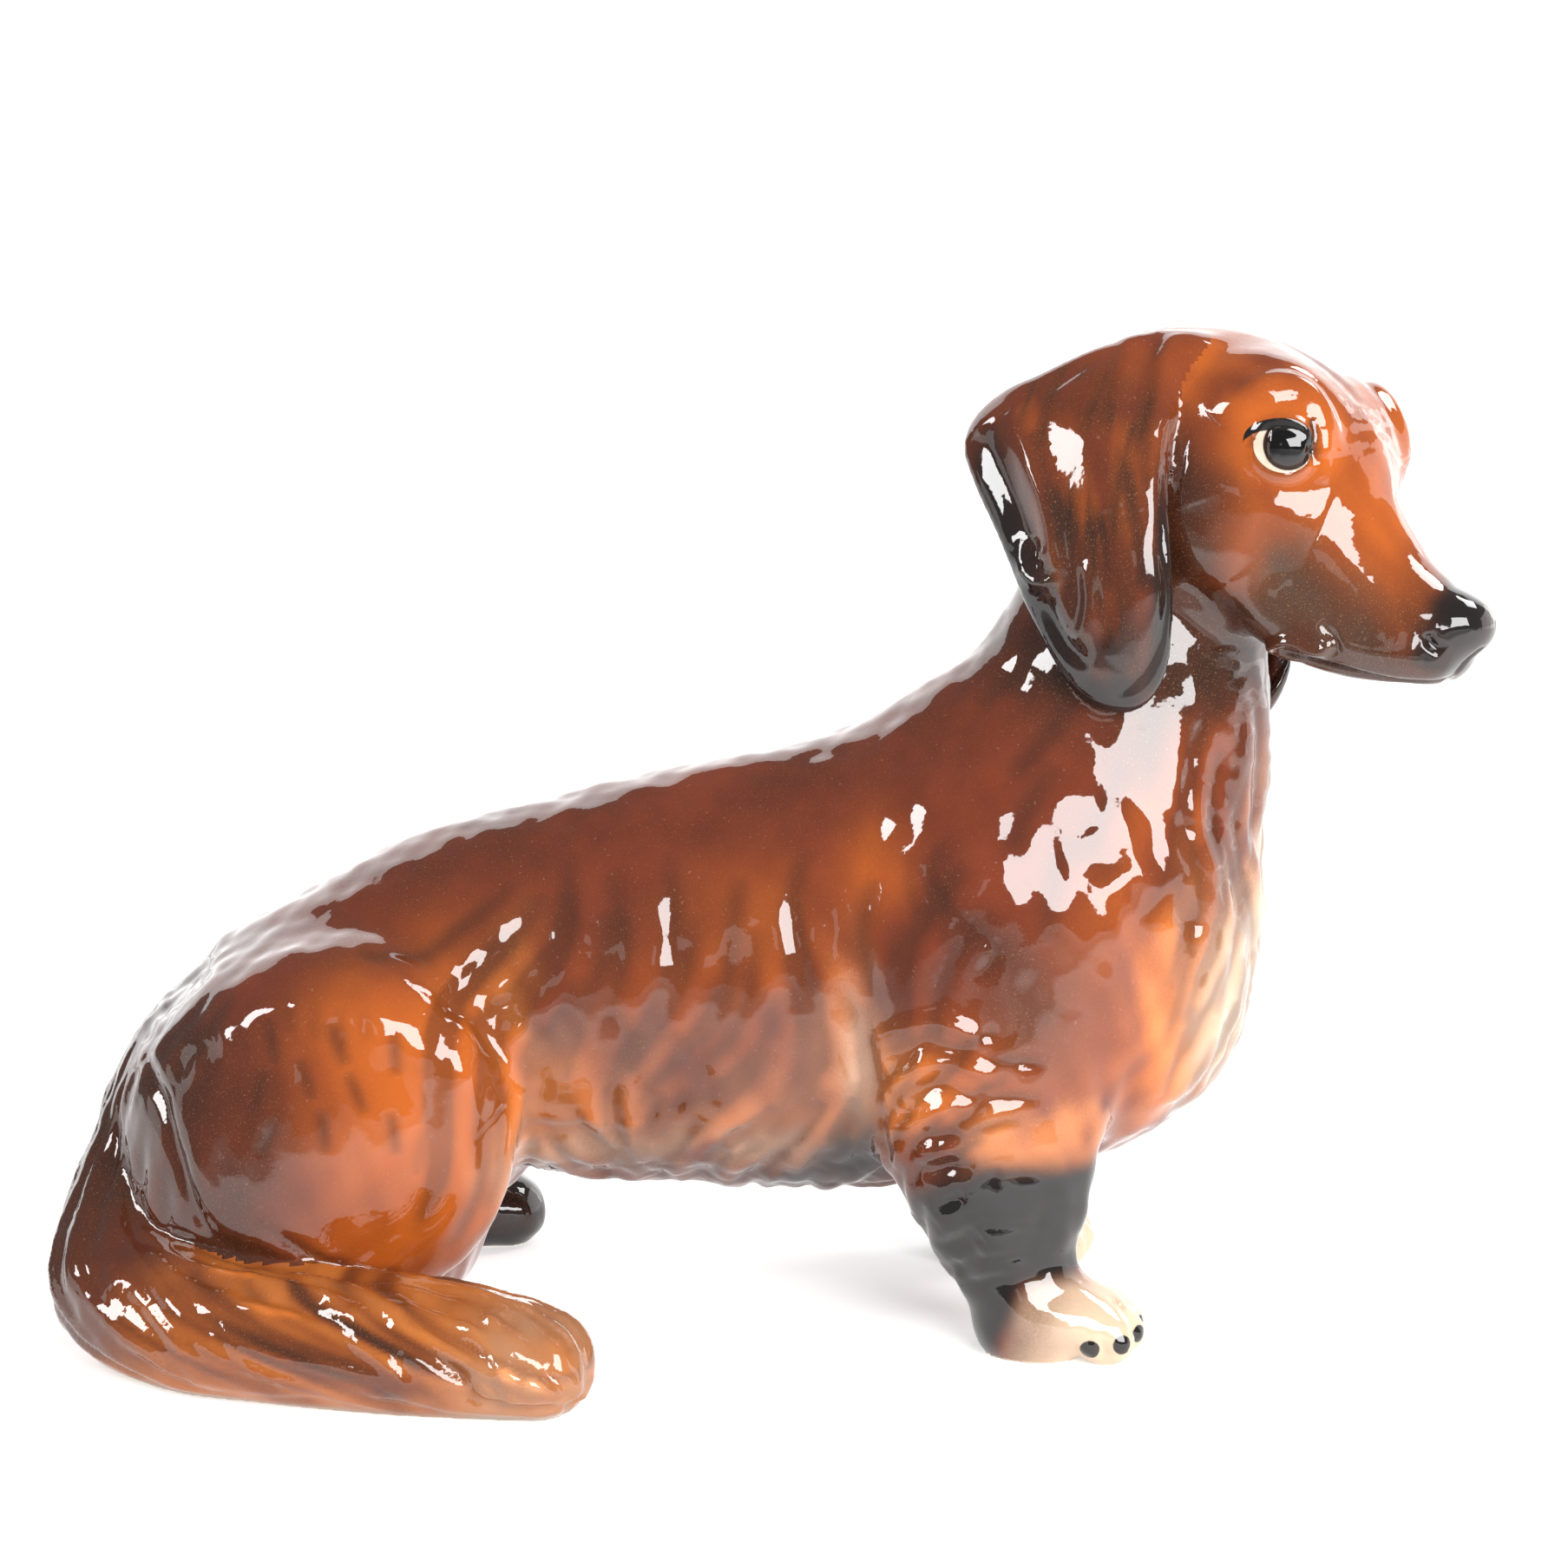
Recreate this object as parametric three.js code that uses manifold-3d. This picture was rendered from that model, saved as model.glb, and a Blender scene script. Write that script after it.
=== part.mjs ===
// A glazed slip-cast figurine of a seated long-haired dachshund.
// The pottery casts it in eight hollow or solid pieces and sticks them together with slip before the
// first firing: the body, the head, two ears, two forelegs, the tail and the hind foot that shows.
// Millimetres, +X towards the chest, +Y to the dog's left, +Z up, standing on z = 0.
import * as THREE from "three";
import { LoftGeometry } from "three/addons/geometries/LoftGeometry.js";
import { mergeVertices } from "three/addons/utils/BufferGeometryUtils.js";
import Module from "manifold-3d";

const wasm = await Module();
wasm.setup();

// Driving dimensions
const LENGTH = 250; // over the tail and the nose
const BODY_WALL = 4.5; // thickness that the slip builds up in the body mould
const HEAD_WALL = 4;
const LIMB_WALL = 3.2;
const LUTE_GAP = 0.3; // the slip between two stuck pieces
const VENT_RADIUS = 1.8; // pinhole under the rump that lets kiln gas out
const AIRWAY_RADIUS = 4; // hole through the body wall into each hollow limb
const LEFT_LEG_SETBACK = 5;
const HEAD_YAW = 35; // degrees, turned to the dog's right
const HEAD_PITCH = 20; // nose down
const HEAD_ROLL = 9.5; // left ear lower
const HEAD_CENTRE = [73, 3, 156];
const NECK_CUT = { at: [61, 0, 125], normal: [0.12, 0, 0.993] };

const UP = [0, 0, 1];
const FORWARD = [1, 0, 0];
const RIGHT = -1;
const LEFT = 1;

// ---- Solids -------------------------------------------------------------------------------------

function solid(geometry) {
  geometry.deleteAttribute("normal");
  geometry.deleteAttribute("uv");
  const merged = mergeVertices(geometry, 1e-4);
  return new wasm.Manifold(
    new wasm.Mesh({
      numProp: 3,
      vertProperties: new Float32Array(merged.attributes.position.array),
      triVerts: new Uint32Array(merged.index.array),
    }),
  );
}

function unite(...solids) {
  return solids.reduce((all, one) => all.add(one));
}

// The largest separate body, so that a sliver left by trimming isn't kept.
function largest(made) {
  return made.decompose().reduce((best, one) => (one.volume() > best.volume() ? one : best));
}

function geometryOf(made) {
  const mesh = made.getMesh();
  return new THREE.BufferGeometry()
    .setAttribute("position", new THREE.BufferAttribute(mesh.vertProperties, 3))
    .setIndex(new THREE.BufferAttribute(mesh.triVerts, 1));
}

// ---- Shapes that clay forms are built from ------------------------------------------------------

// How far an end has rounded off at parameter t, when the rounding takes up the share `end`.
function roundedEnd(t, end) {
  const nearest = Math.min(t, 1 - t) / end;
  return nearest >= 1 ? 1 : Math.max(0.07, Math.sqrt(nearest * (2 - nearest)));
}

// A form skinned through stations [x, y, z, half width, half depth]. The width lies across `up` and
// the line of travel. A positive inset thins it to the cavity, and a negative one grows it.
function limb(stations, { inset = 0, rings, sides, up = UP, end }) {
  const line = new THREE.CatmullRomCurve3(stations.map(([x, y, z]) => new THREE.Vector3(x, y, z)));
  const halves = new THREE.CatmullRomCurve3(stations.map((s) => new THREE.Vector3(s[3], s[4], 0)));
  const trim = Math.max(inset, 0) / line.getLength();
  const upward = new THREE.Vector3(...up);
  const sections = [];
  for (let ring = 0; ring <= rings; ring++) {
    const share = (1 - Math.cos((Math.PI * ring) / rings)) / 2;
    const t = trim + share * (1 - 2 * trim);
    const centre = line.getPoint(t);
    const travel = line.getTangent(t);
    const across = new THREE.Vector3().crossVectors(upward, travel).normalize();
    const outward = new THREE.Vector3().crossVectors(travel, across);
    const half = halves.getPoint(t);
    const round = roundedEnd(share, end);
    const wide = Math.max(half.x - inset, 0.4) * round;
    const deep = Math.max(half.y - inset, 0.4) * round;
    const section = [];
    for (let side = 0; side < sides; side++) {
      const angle = (2 * Math.PI * side) / sides;
      section.push(
        centre
          .clone()
          .addScaledVector(across, wide * Math.cos(angle))
          .addScaledVector(outward, deep * Math.sin(angle)),
      );
    }
    sections.push(section);
  }
  return solid(new LoftGeometry(sections, { capStart: true, capEnd: true }));
}

// An ellipsoid, turned about Y by `tilt` degrees.
function ball([x, y, z], [rx, ry, rz], { inset = 0, tilt = 0, detail = 18 } = {}) {
  const geometry = new THREE.SphereGeometry(1, detail, Math.round(detail * 0.6));
  geometry.scale(rx - inset, ry - inset, rz - inset);
  geometry.rotateY(THREE.MathUtils.degToRad(tilt));
  geometry.translate(x, y, z);
  return solid(geometry);
}

// Everything on the side of a plane that its normal points to.
function beyond(at, normal) {
  const reach = 2 * LENGTH;
  const geometry = new THREE.BoxGeometry(reach, reach, reach);
  geometry.translate(0, 0, reach / 2);
  const turn = new THREE.Quaternion().setFromUnitVectors(
    new THREE.Vector3(...UP),
    new THREE.Vector3(...normal).normalize(),
  );
  geometry.applyQuaternion(turn);
  geometry.translate(...at);
  return solid(geometry);
}

function airway([x, y, z], direction, radius, length) {
  const geometry = new THREE.CylinderGeometry(radius, radius, length, 12);
  const turn = new THREE.Quaternion().setFromUnitVectors(
    new THREE.Vector3(0, 1, 0),
    new THREE.Vector3(...direction).normalize(),
  );
  geometry.applyQuaternion(turn);
  geometry.translate(x, y, z);
  return solid(geometry);
}

const aboveFloor = (inset) => beyond([0, 0, Math.max(inset, 0)], UP);

// ---- Clay forms. Each takes an inset, so that one recipe gives the outside and the cavity -------

function neckForm(inset) {
  const stations = [
    [42, 0, 62, 29, 36],
    [49, 0, 88, 29.5, 36],
    [58, 0, 109, 25, 28],
    [63, 0, 127, 21, 22.5],
    [66, 2, 146, 18, 19],
    [68, 3, 158, 16, 16],
  ];
  return limb(stations, { inset, up: [-1, 0, 0], sides: 20, rings: 9, end: 0.12 });
}

function trunkForm(inset) {
  const stations = [
    [-113, 0, 26, 18, 17],
    [-102, 0, 31, 28, 27],
    [-84, 0, 38, 33, 34],
    [-58, 0, 55.5, 31, 31.5],
    [-30, 0, 60, 29.5, 35.5],
    [2, 0, 62.5, 31.5, 40],
    [30, 0, 66, 33, 40.5],
    [50, 0, 69, 31, 38],
    [64, 0, 72, 26, 31],
    [73, 0, 76, 18, 23],
  ];
  return limb(stations, { inset, sides: 20, rings: 15, end: 0.1 });
}

function thighForm(side, inset) {
  const stations = [
    [-102, side * 22, 28, 14, 22],
    [-90, side * 27, 33, 16.5, 32],
    [-72, side * 29, 36, 16, 36],
    [-57, side * 29, 38, 13.5, 25],
    [-46, side * 28, 38, 9, 13],
  ];
  return limb(stations, { inset, sides: 16, rings: 9, end: 0.3 });
}

// The rump spreads where it sits, and the floor cuts it flat.
function seatForm(inset) {
  return ball([-84, 0, 16], [29, 38, 25], { inset });
}

function shoulderForm(side, inset) {
  return ball([38, side * 19, 72], [25, 17, 32], { inset, tilt: 12, detail: 14 });
}

function breastForm(inset) {
  return ball([61, 0, 71], [21, 22, 32.5], { inset });
}

function bodyForm(inset) {
  return unite(
    trunkForm(inset),
    seatForm(inset),
    neckForm(inset),
    breastForm(inset),
    ...[RIGHT, LEFT].map((side) => shoulderForm(side, inset)),
    ...[RIGHT, LEFT].map((side) => thighForm(side, inset)),
  );
}

// The left foreleg stands a little further back than the right one.
const legSetBack = (side) => (side === LEFT ? LEFT_LEG_SETBACK : 0);

function forelegForm(side, inset) {
  const leg = [
    [33, side * 19, 72, 11, 17],
    [34, side * 23.5, 56, 13.5, 20],
    [36, side * 26, 42, 13, 19.5],
    [38, side * 27, 29, 11.5, 16.5],
    [39.5, side * 27, 17, 10, 12],
    [42, side * 27, 8, 9.5, 9.5],
    [43, side * 27, 1, 9, 8],
  ];
  const paw = [
    [33, side * 27, 4.5, 8, 4.5],
    [41, side * 27, 6.5, 10.5, 7],
    [50, side * 27.3, 6.8, 11.8, 7],
    [57, side * 27.3, 5.2, 11, 5.6],
    [61.5, side * 27.3, 4, 9, 4],
  ];
  return unite(
    limb(leg, { inset, up: FORWARD, sides: 14, rings: 10, end: 0.12 }),
    limb(paw, { inset, sides: 14, rings: 8, end: 0.2 }),
  ).translate([-legSetBack(side), 0, 0]);
}

function toes(side) {
  return [-8.4, -2.9, 2.9, 8.4].map((offset) =>
    ball(
      [58.5 - 0.035 * offset ** 2 - legSetBack(side), side * 27.3 + offset, 4.1],
      [5.2, 3, 4.2],
      { detail: 8 },
    ),
  );
}

function hindFootForm() {
  const stations = [
    [-76, 37, 7, 7, 8],
    [-64, 37, 8, 8.5, 9],
    [-54, 37.5, 7, 9, 8.5],
    [-45, 38, 5, 8, 6],
  ];
  return limb(stations, { sides: 12, rings: 8, end: 0.22 });
}

function tailForm(inset) {
  const stations = [
    [-98, 0, 49, 9, 9],
    [-106, -4, 42, 11, 10],
    [-113.5, -12, 28, 12.5, 10.5],
    [-114.5, -28, 13, 14, 12.5],
    [-102, -41, 9.5, 15, 12],
    [-85, -47.5, 9, 15.5, 11.5],
    [-64, -52, 8.5, 15.5, 12],
    [-46, -56, 7.5, 14.5, 10],
    [-34, -58, 5.5, 11, 7],
  ];
  return limb(stations, { inset, sides: 14, rings: 18, end: 0.08 });
}

// ---- The head, in its own frame: +X out of the face, +Y to the dog's left, +Z to the crown ------

const headFrame = new THREE.Matrix4().compose(
  new THREE.Vector3(...HEAD_CENTRE),
  new THREE.Quaternion().setFromEuler(
    new THREE.Euler(
      THREE.MathUtils.degToRad(-HEAD_ROLL),
      THREE.MathUtils.degToRad(HEAD_PITCH),
      THREE.MathUtils.degToRad(-HEAD_YAW),
      "ZYX",
    ),
  ),
  new THREE.Vector3(1, 1, 1),
);

function headForm(inset) {
  const stations = [
    [-29, 0, -5, 12, 12],
    [-21, 0, -4, 18, 17.5],
    [-7, 0, -2, 22.5, 22],
    [8, 0, -1, 23, 23.4],
    [20, 0, -3, 20.5, 21.5],
    [32, 0, -8, 15.5, 16],
    [44, 0, -11, 12.5, 12.6],
    [56, 0, -11.5, 10.2, 9],
    [62, 0, -11, 8, 7],
  ];
  return limb(stations, { inset, sides: 20, rings: 15, end: 0.08 }).transform(headFrame.elements);
}

// Brows, eyeballs and nose leather stand proud of the head form and are cast with it.
function faceDetails() {
  const pairs = [RIGHT, LEFT].flatMap((side) => [
    ball([17.5, side * 12, 12], [10.5, 7.5, 7], { detail: 12, tilt: 20 }),
    ball([20.5, side * 14.5, 7], [6.2, 5.4, 6], { detail: 12 }),
  ]);
  const nose = ball([60, 0, -8], [4.8, 6.2, 5], { detail: 12 });
  return unite(nose, ...pairs).transform(headFrame.elements);
}

function earForm(side, inset) {
  const stations = [
    [-1, side * 14, 14, 3.5, 6],
    [-3, side * 21, 12.5, 4, 11],
    [-6, side * 27.5, 7, 4.5, 15],
    [-7, side * 31, -2, 4.5, 18],
    [-4, side * 32.5, -12, 4.2, 18.5],
    [2, side * 33, -23, 4, 17],
    [10, side * 32, -33, 4, 14],
    [17, side * 31, -40, 3.8, 10.5],
    [21, side * 30, -45, 3, 6],
  ];
  return limb(stations, { inset, up: FORWARD, rings: 14, sides: 14, end: 0.09 }).transform(
    headFrame.elements,
  );
}

// ---- The cast pieces, trimmed to fit each other -------------------------------------------------

const aboveNeckCut = (offset) => {
  const shifted = NECK_CUT.at.map((value, axis) => value + offset * NECK_CUT.normal[axis]);
  return beyond(shifted, NECK_CUT.normal);
};
const grownBody = bodyForm(-LUTE_GAP);
const grownHead = headForm(-LUTE_GAP);

function bodyCasting() {
  const vents = [
    airway([-92, 8, 0], UP, VENT_RADIUS, 4 * BODY_WALL),
    airway([36, -30, 58], [0, 1, 0], AIRWAY_RADIUS, 16),
    airway([36, 30, 58], [0, 1, 0], AIRWAY_RADIUS, 16),
    airway([-106, -4, 42], [0.8, 0, -0.3], AIRWAY_RADIUS, 20),
  ];
  return bodyForm(0)
    .intersect(aboveFloor(0))
    .subtract(bodyForm(BODY_WALL).intersect(aboveFloor(BODY_WALL)))
    .subtract(aboveNeckCut(0))
    .subtract(grownHead)
    .subtract(unite(...vents));
}

function headCasting() {
  const outside = unite(headForm(0), faceDetails(), neckForm(0).intersect(aboveNeckCut(LUTE_GAP)));
  return outside.subtract(unite(headForm(HEAD_WALL), neckForm(BODY_WALL)));
}

function earCasting(side) {
  return earForm(side, 0).subtract(grownHead).subtract(grownBody);
}

function forelegCasting(side) {
  return unite(forelegForm(side, 0), ...toes(side))
    .intersect(aboveFloor(0))
    .subtract(grownBody)
    .subtract(forelegForm(side, LIMB_WALL).intersect(aboveFloor(LIMB_WALL)));
}

function tailCasting() {
  return tailForm(0)
    .intersect(aboveFloor(0))
    .subtract(grownBody)
    .subtract(tailForm(LIMB_WALL).intersect(aboveFloor(LIMB_WALL)));
}

function hindFootCasting() {
  return hindFootForm().intersect(aboveFloor(0)).subtract(grownBody);
}

// ---- Glazes -------------------------------------------------------------------------------------

function glaze(color) {
  return new THREE.MeshStandardMaterial({ color, roughness: 0.06, metalness: 0 });
}
const russet = glaze(0x8f4a2c);
const chestnut = glaze(0xa75a2c);
const darkBrown = glaze(0x4a2c22);
const black = glaze(0x2e2a29);
const amber = glaze(0xb2622f);

// ---- Assembly -----------------------------------------------------------------------------------

const figurine = new THREE.Group();

// Adds a piece as a mesh whose own origin is where it is stuck on.
function addPiece(name, made, stuckAt, material) {
  const geometry = geometryOf(largest(made));
  geometry.translate(...stuckAt.map((value) => -value));
  const mesh = new THREE.Mesh(geometry, material);
  mesh.name = name;
  mesh.position.set(...stuckAt);
  figurine.add(mesh);
}

addPiece("body", bodyCasting(), [0, 0, 0], russet);
addPiece("head", headCasting(), NECK_CUT.at, chestnut);
addPiece("ear_right", earCasting(RIGHT), [60, -12, 172], darkBrown);
addPiece("ear_left", earCasting(LEFT), [78, 22, 168], darkBrown);
addPiece("foreleg_right", forelegCasting(RIGHT), [36, -26, 58], black);
addPiece("foreleg_left", forelegCasting(LEFT), [36, 26, 58], black);
addPiece("tail", tailCasting(), [-106, -4, 42], amber);
addPiece("hind_foot_left", hindFootCasting(), [-66, 37, 0], darkBrown);

// The part's origin is the middle of its footprint.
figurine.updateMatrixWorld(true);
const extent = new THREE.Box3().setFromObject(figurine);
const middle = extent.getCenter(new THREE.Vector3());
figurine.position.set(-middle.x, -middle.y, -extent.min.z);

export default figurine;
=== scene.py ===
"""Looks of the glazed ceramic dachshund: one closed, carved and painted mesh for each cast piece.

The clay forms are skinned in the CAD's own design frame (millimetres, +X to the chest, +Y to the
dog's left, z = 0 on the table), blended softly into one another, carved with locks of hair, and cut
apart again along the lines where the castings are stuck together.
"""

import itertools
import math

import bpy
import numpy as np
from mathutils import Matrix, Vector


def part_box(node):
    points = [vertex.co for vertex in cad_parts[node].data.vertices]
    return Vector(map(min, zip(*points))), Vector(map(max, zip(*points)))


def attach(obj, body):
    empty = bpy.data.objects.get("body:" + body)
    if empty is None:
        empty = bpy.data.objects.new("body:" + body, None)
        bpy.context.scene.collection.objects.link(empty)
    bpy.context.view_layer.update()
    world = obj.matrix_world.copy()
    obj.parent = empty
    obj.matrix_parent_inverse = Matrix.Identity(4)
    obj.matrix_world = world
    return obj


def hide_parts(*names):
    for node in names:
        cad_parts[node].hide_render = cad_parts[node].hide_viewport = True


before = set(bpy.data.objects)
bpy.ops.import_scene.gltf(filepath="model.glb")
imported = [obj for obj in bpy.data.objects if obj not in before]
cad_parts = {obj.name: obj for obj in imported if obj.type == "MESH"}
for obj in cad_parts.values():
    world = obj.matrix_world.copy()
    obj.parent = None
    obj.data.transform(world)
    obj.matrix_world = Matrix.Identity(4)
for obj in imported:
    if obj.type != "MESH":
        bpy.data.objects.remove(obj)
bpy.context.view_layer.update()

GRID = 0.8  # millimetres between samples of the clay's surface
SMOOTHINGS = 4
FAR = 1e3

# The design frame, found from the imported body.
BODY_LO, BODY_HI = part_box("body")
DESIGN_BODY_LENGTH = 201.2
DESIGN_BODY_REAR = -116.2
MM = (BODY_HI.x - BODY_LO.x) / DESIGN_BODY_LENGTH
ORIGIN = np.array([BODY_LO.x - DESIGN_BODY_REAR * MM, (BODY_LO.y + BODY_HI.y) / 2, BODY_LO.z])

HEAD_YAW, HEAD_PITCH, HEAD_ROLL = np.radians([-35.0, 20.0, -9.5])
HEAD_CENTRE = np.array([73.0, 3.0, 156.0])
NECK_CUT, NECK_AXIS = np.array([61.0, 0.0, 125.0]), np.array([0.12, 0.0, 0.993])
LEFT_LEG_SETBACK = 5.0
PIECES = ["body", "head", "ear_right", "ear_left", "foreleg_right", "foreleg_left", "tail",
          "hind_foot_left"]
BODY, HEAD, EAR_R, EAR_L, LEG_R, LEG_L, TAIL, FOOT = range(8)


def turn(axis, angle):
    c, s = math.cos(angle), math.sin(angle)
    return np.array({"x": [[1, 0, 0], [0, c, -s], [0, s, c]],
                     "y": [[c, 0, s], [0, 1, 0], [-s, 0, c]],
                     "z": [[c, -s, 0], [s, c, 0], [0, 0, 1]]}[axis])


HEAD_TURN = turn("z", HEAD_YAW) @ turn("y", HEAD_PITCH) @ turn("x", HEAD_ROLL)


def from_head(points):
    return np.asarray(points, float) @ HEAD_TURN.T + HEAD_CENTRE


def to_head(points):
    return (points - HEAD_CENTRE) @ HEAD_TURN


def smooth(low, high, x):
    t = np.clip((x - low) / (high - low), 0, 1)
    return t * t * (3 - 2 * t)


def dot(a, b):
    return np.einsum("ij,ij->i", a, b)


def unit(v):
    return v / np.maximum(np.linalg.norm(v, axis=-1, keepdims=True), 1e-9)


def spline(points, count):
    """count samples of a Catmull-Rom curve through the rows of points."""
    p = np.asarray(points, float)
    p = np.vstack([2 * p[0] - p[1], p, 2 * p[-1] - p[-2]])
    t = np.linspace(0, len(p) - 3 - 1e-9, count)
    i = t.astype(int)
    f = (t - i)[:, None]
    a, b, c, d = p[i], p[i + 1], p[i + 2], p[i + 3]
    return 0.5 * (2 * b + (c - a) * f + (2 * a - 5 * b + 4 * c - d) * f**2
                  + (3 * b - a - 3 * c + d) * f**3)


def even(rows, spacing):
    """Rows respaced evenly along the curve that their first three columns trace."""
    run = np.r_[0, np.cumsum(np.linalg.norm(np.diff(rows[:, :3], axis=0), axis=1))]
    count = max(int(run[-1] / spacing) + 1, 4)
    at = np.linspace(0, run[-1], count)
    return np.stack([np.interp(at, run, rows[:, k]) for k in range(rows.shape[1])], 1), at[1]


def swell(u, v, w, ru, rv, rw):
    """Near distance to an ellipsoid of radii ru, rv, rw, negative inside."""
    k0 = np.sqrt((u / ru) ** 2 + (v / rv) ** 2 + (w / rw) ** 2)
    k1 = np.sqrt((u / ru**2) ** 2 + (v / rv**2) ** 2 + (w / rw**2) ** 2)
    return np.where(k1 > 1e-6, k0 * (k0 - 1) / np.maximum(k1, 1e-6), -np.minimum(ru, rv))


class Form:
    """A clay form with a box outside which it is only roughly far away."""

    pad = 14.0

    def __call__(self, p):
        gap = np.maximum(np.maximum(self.lo - p, p - self.hi), 0)
        out = np.linalg.norm(gap, axis=1) + self.pad * 0.5
        near = (gap < self.pad).all(1)
        if near.any():
            out[near] = self.measure(p[near])
        return out


class Limb(Form):
    """Skinned through stations [x, y, z, half width, half depth]; the width lies across up."""

    def __init__(self, stations, up=(0, 0, 1), ends=(1.0, 1.0), head=False, spacing=3.0):
        rows, self.step = even(spline(stations, 240), spacing)
        centre, up = rows[:, :3], np.asarray(up, float)
        if head:
            centre, up = from_head(centre), HEAD_TURN @ up
        self.c = centre
        self.t = unit(np.gradient(centre, axis=0))
        self.a = unit(np.cross(up, self.t))
        self.o = np.cross(self.t, self.a)
        self.w, self.h = rows[:, 3], rows[:, 4]
        last = len(rows) - 1
        self.reach = np.array([min(self.w[0], self.h[0]) * ends[0],
                               min(self.w[last], self.h[last]) * ends[1]])
        r = np.maximum(self.w, self.h)[:, None]
        self.lo, self.hi = (centre - r).min(0), (centre + r).max(0)

    def locate(self, p):
        """Where along the limb each point is (0 to last), and its place across it."""
        last = len(self.c) - 1
        i = (-2 * p @ self.c.T + (self.c**2).sum(1)).argmin(1)
        s = dot(p - self.c[i], self.t[i]) / self.step
        tau = np.clip(i + np.clip(s, -1, 1), 0, last)
        k = np.minimum(tau.astype(int), last - 1)
        f = (tau - k)[:, None]
        mix = lambda rows: rows[k] * (1 - f) + rows[k + 1] * f
        q = p - mix(self.c)
        w, h = mix(self.w[:, None])[:, 0], mix(self.h[:, None])[:, 0]
        along = np.where((tau <= 0) | (tau >= last), dot(q, mix(self.t)), 0)
        return tau / last, dot(q, mix(self.a)), dot(q, mix(self.o)), along, w, h

    def measure(self, p):
        t, u, v, along, w, h = self.locate(p)
        reach = np.where(t < 0.5, self.reach[0], self.reach[1])
        return swell(u, v, along, w, h, reach)


class Ball(Form):
    def __init__(self, centre, radii, tilt=0.0, head=False):
        self.c, self.r = np.asarray(centre, float), radii
        self.axes = turn("y", math.radians(tilt))
        if head:
            self.c, self.axes = from_head(self.c), HEAD_TURN @ self.axes
        self.lo, self.hi = self.c - max(radii), self.c + max(radii)

    def measure(self, p):
        q = (p - self.c) @ self.axes
        return swell(q[:, 0], q[:, 1], q[:, 2], *self.r)


def ring(points, each):
    """A closed Catmull-Rom curve through the rows of points, with each samples between two."""
    p = np.asarray(points, float)
    run = spline(np.vstack([p[-1:], p, p[:2]]), (len(p) + 2) * each + 1)
    return run[each:(len(p) + 1) * each + 1]


class Flap(Form):
    """An ear: a slab that hangs beside the head, with an outline [x, z] seen from the side."""

    cell = 0.25  # spacing of the sampled outline
    rim = 2.2  # radius of the slab's edge
    caution = 0.85  # keeps the measure below the true distance on the slab's bends

    def __init__(self, outline, side, drop=0.0):
        loop = ring(outline, 5) - [0, drop]
        self.side = side
        self.corner = loop.min(0) - 8
        count = ((loop.max(0) + 8 - self.corner) / self.cell).astype(int)
        x, z = np.meshgrid(*[np.arange(n) * self.cell for n in count], indexing="ij")
        x, z = x + self.corner[0], z + self.corner[1]
        gap, inside = np.full(x.shape, FAR), np.zeros(x.shape, bool)
        for (x0, z0), (x1, z1) in zip(loop[:-1], loop[1:]):
            dx, dz = x1 - x0, z1 - z0
            t = np.clip(((x - x0) * dx + (z - z0) * dz) / (dx * dx + dz * dz), 0, 1)
            gap = np.minimum(gap, (x - x0 - t * dx) ** 2 + (z - z0 - t * dz) ** 2)
            if z0 != z1:
                inside ^= ((z0 > z) != (z1 > z)) & (x < x0 + (z - z0) * dx / dz)
        self.depth = np.sqrt(gap) * np.where(inside, 1, -1)
        (x0, z0), (x1, z1) = loop.min(0), loop.max(0)
        box = from_head([[x, side * y, z] for x in (x0, x1) for y in (8, 36) for z in (z0, z1)])
        self.lo, self.hi = box.min(0), box.max(0)

    def place(self, p):
        """Distance inside the outline and distance out from the slab's middle."""
        x, y, z = to_head(p).T
        at = (np.stack([x, z], 1) - self.corner) / self.cell
        at = np.clip(at, 0, np.array(self.depth.shape) - 1.001)
        i, k = at.astype(int).T
        f, g = (at - at.astype(int)).T
        d = self.depth
        depth = ((d[i, k] * (1 - f) + d[i + 1, k] * f) * (1 - g)
                 + (d[i, k + 1] * (1 - f) + d[i + 1, k + 1] * f) * g)
        middle = (30 - 18 * (np.maximum(z + 18, 0) / 38) ** 2
                  - 2 * (np.maximum(-18 - z, 0) / 26) ** 2)
        middle -= 0.006 * np.minimum(x + 2, 0) ** 2 + 0.02 * np.maximum(x - 8, 0) ** 2
        return depth, self.side * y - middle

    def measure(self, p):
        depth, out = self.place(p)
        thick = 2.4 + 1.6 * smooth(0, 8, depth)
        edge = np.maximum(self.rim - depth, 0)
        face = np.maximum(np.abs(out) - thick + self.rim, 0)
        return (np.hypot(edge, face) - self.rim) * self.caution


def melt(a, b, k):
    """Union of two distances with a fillet about k wide."""
    h = np.maximum(k - np.abs(a - b), 0)
    return np.minimum(a, b) - h * h / (4 * k)


# ---- Clay forms ---------------------------------------------------------------------------------

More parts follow.
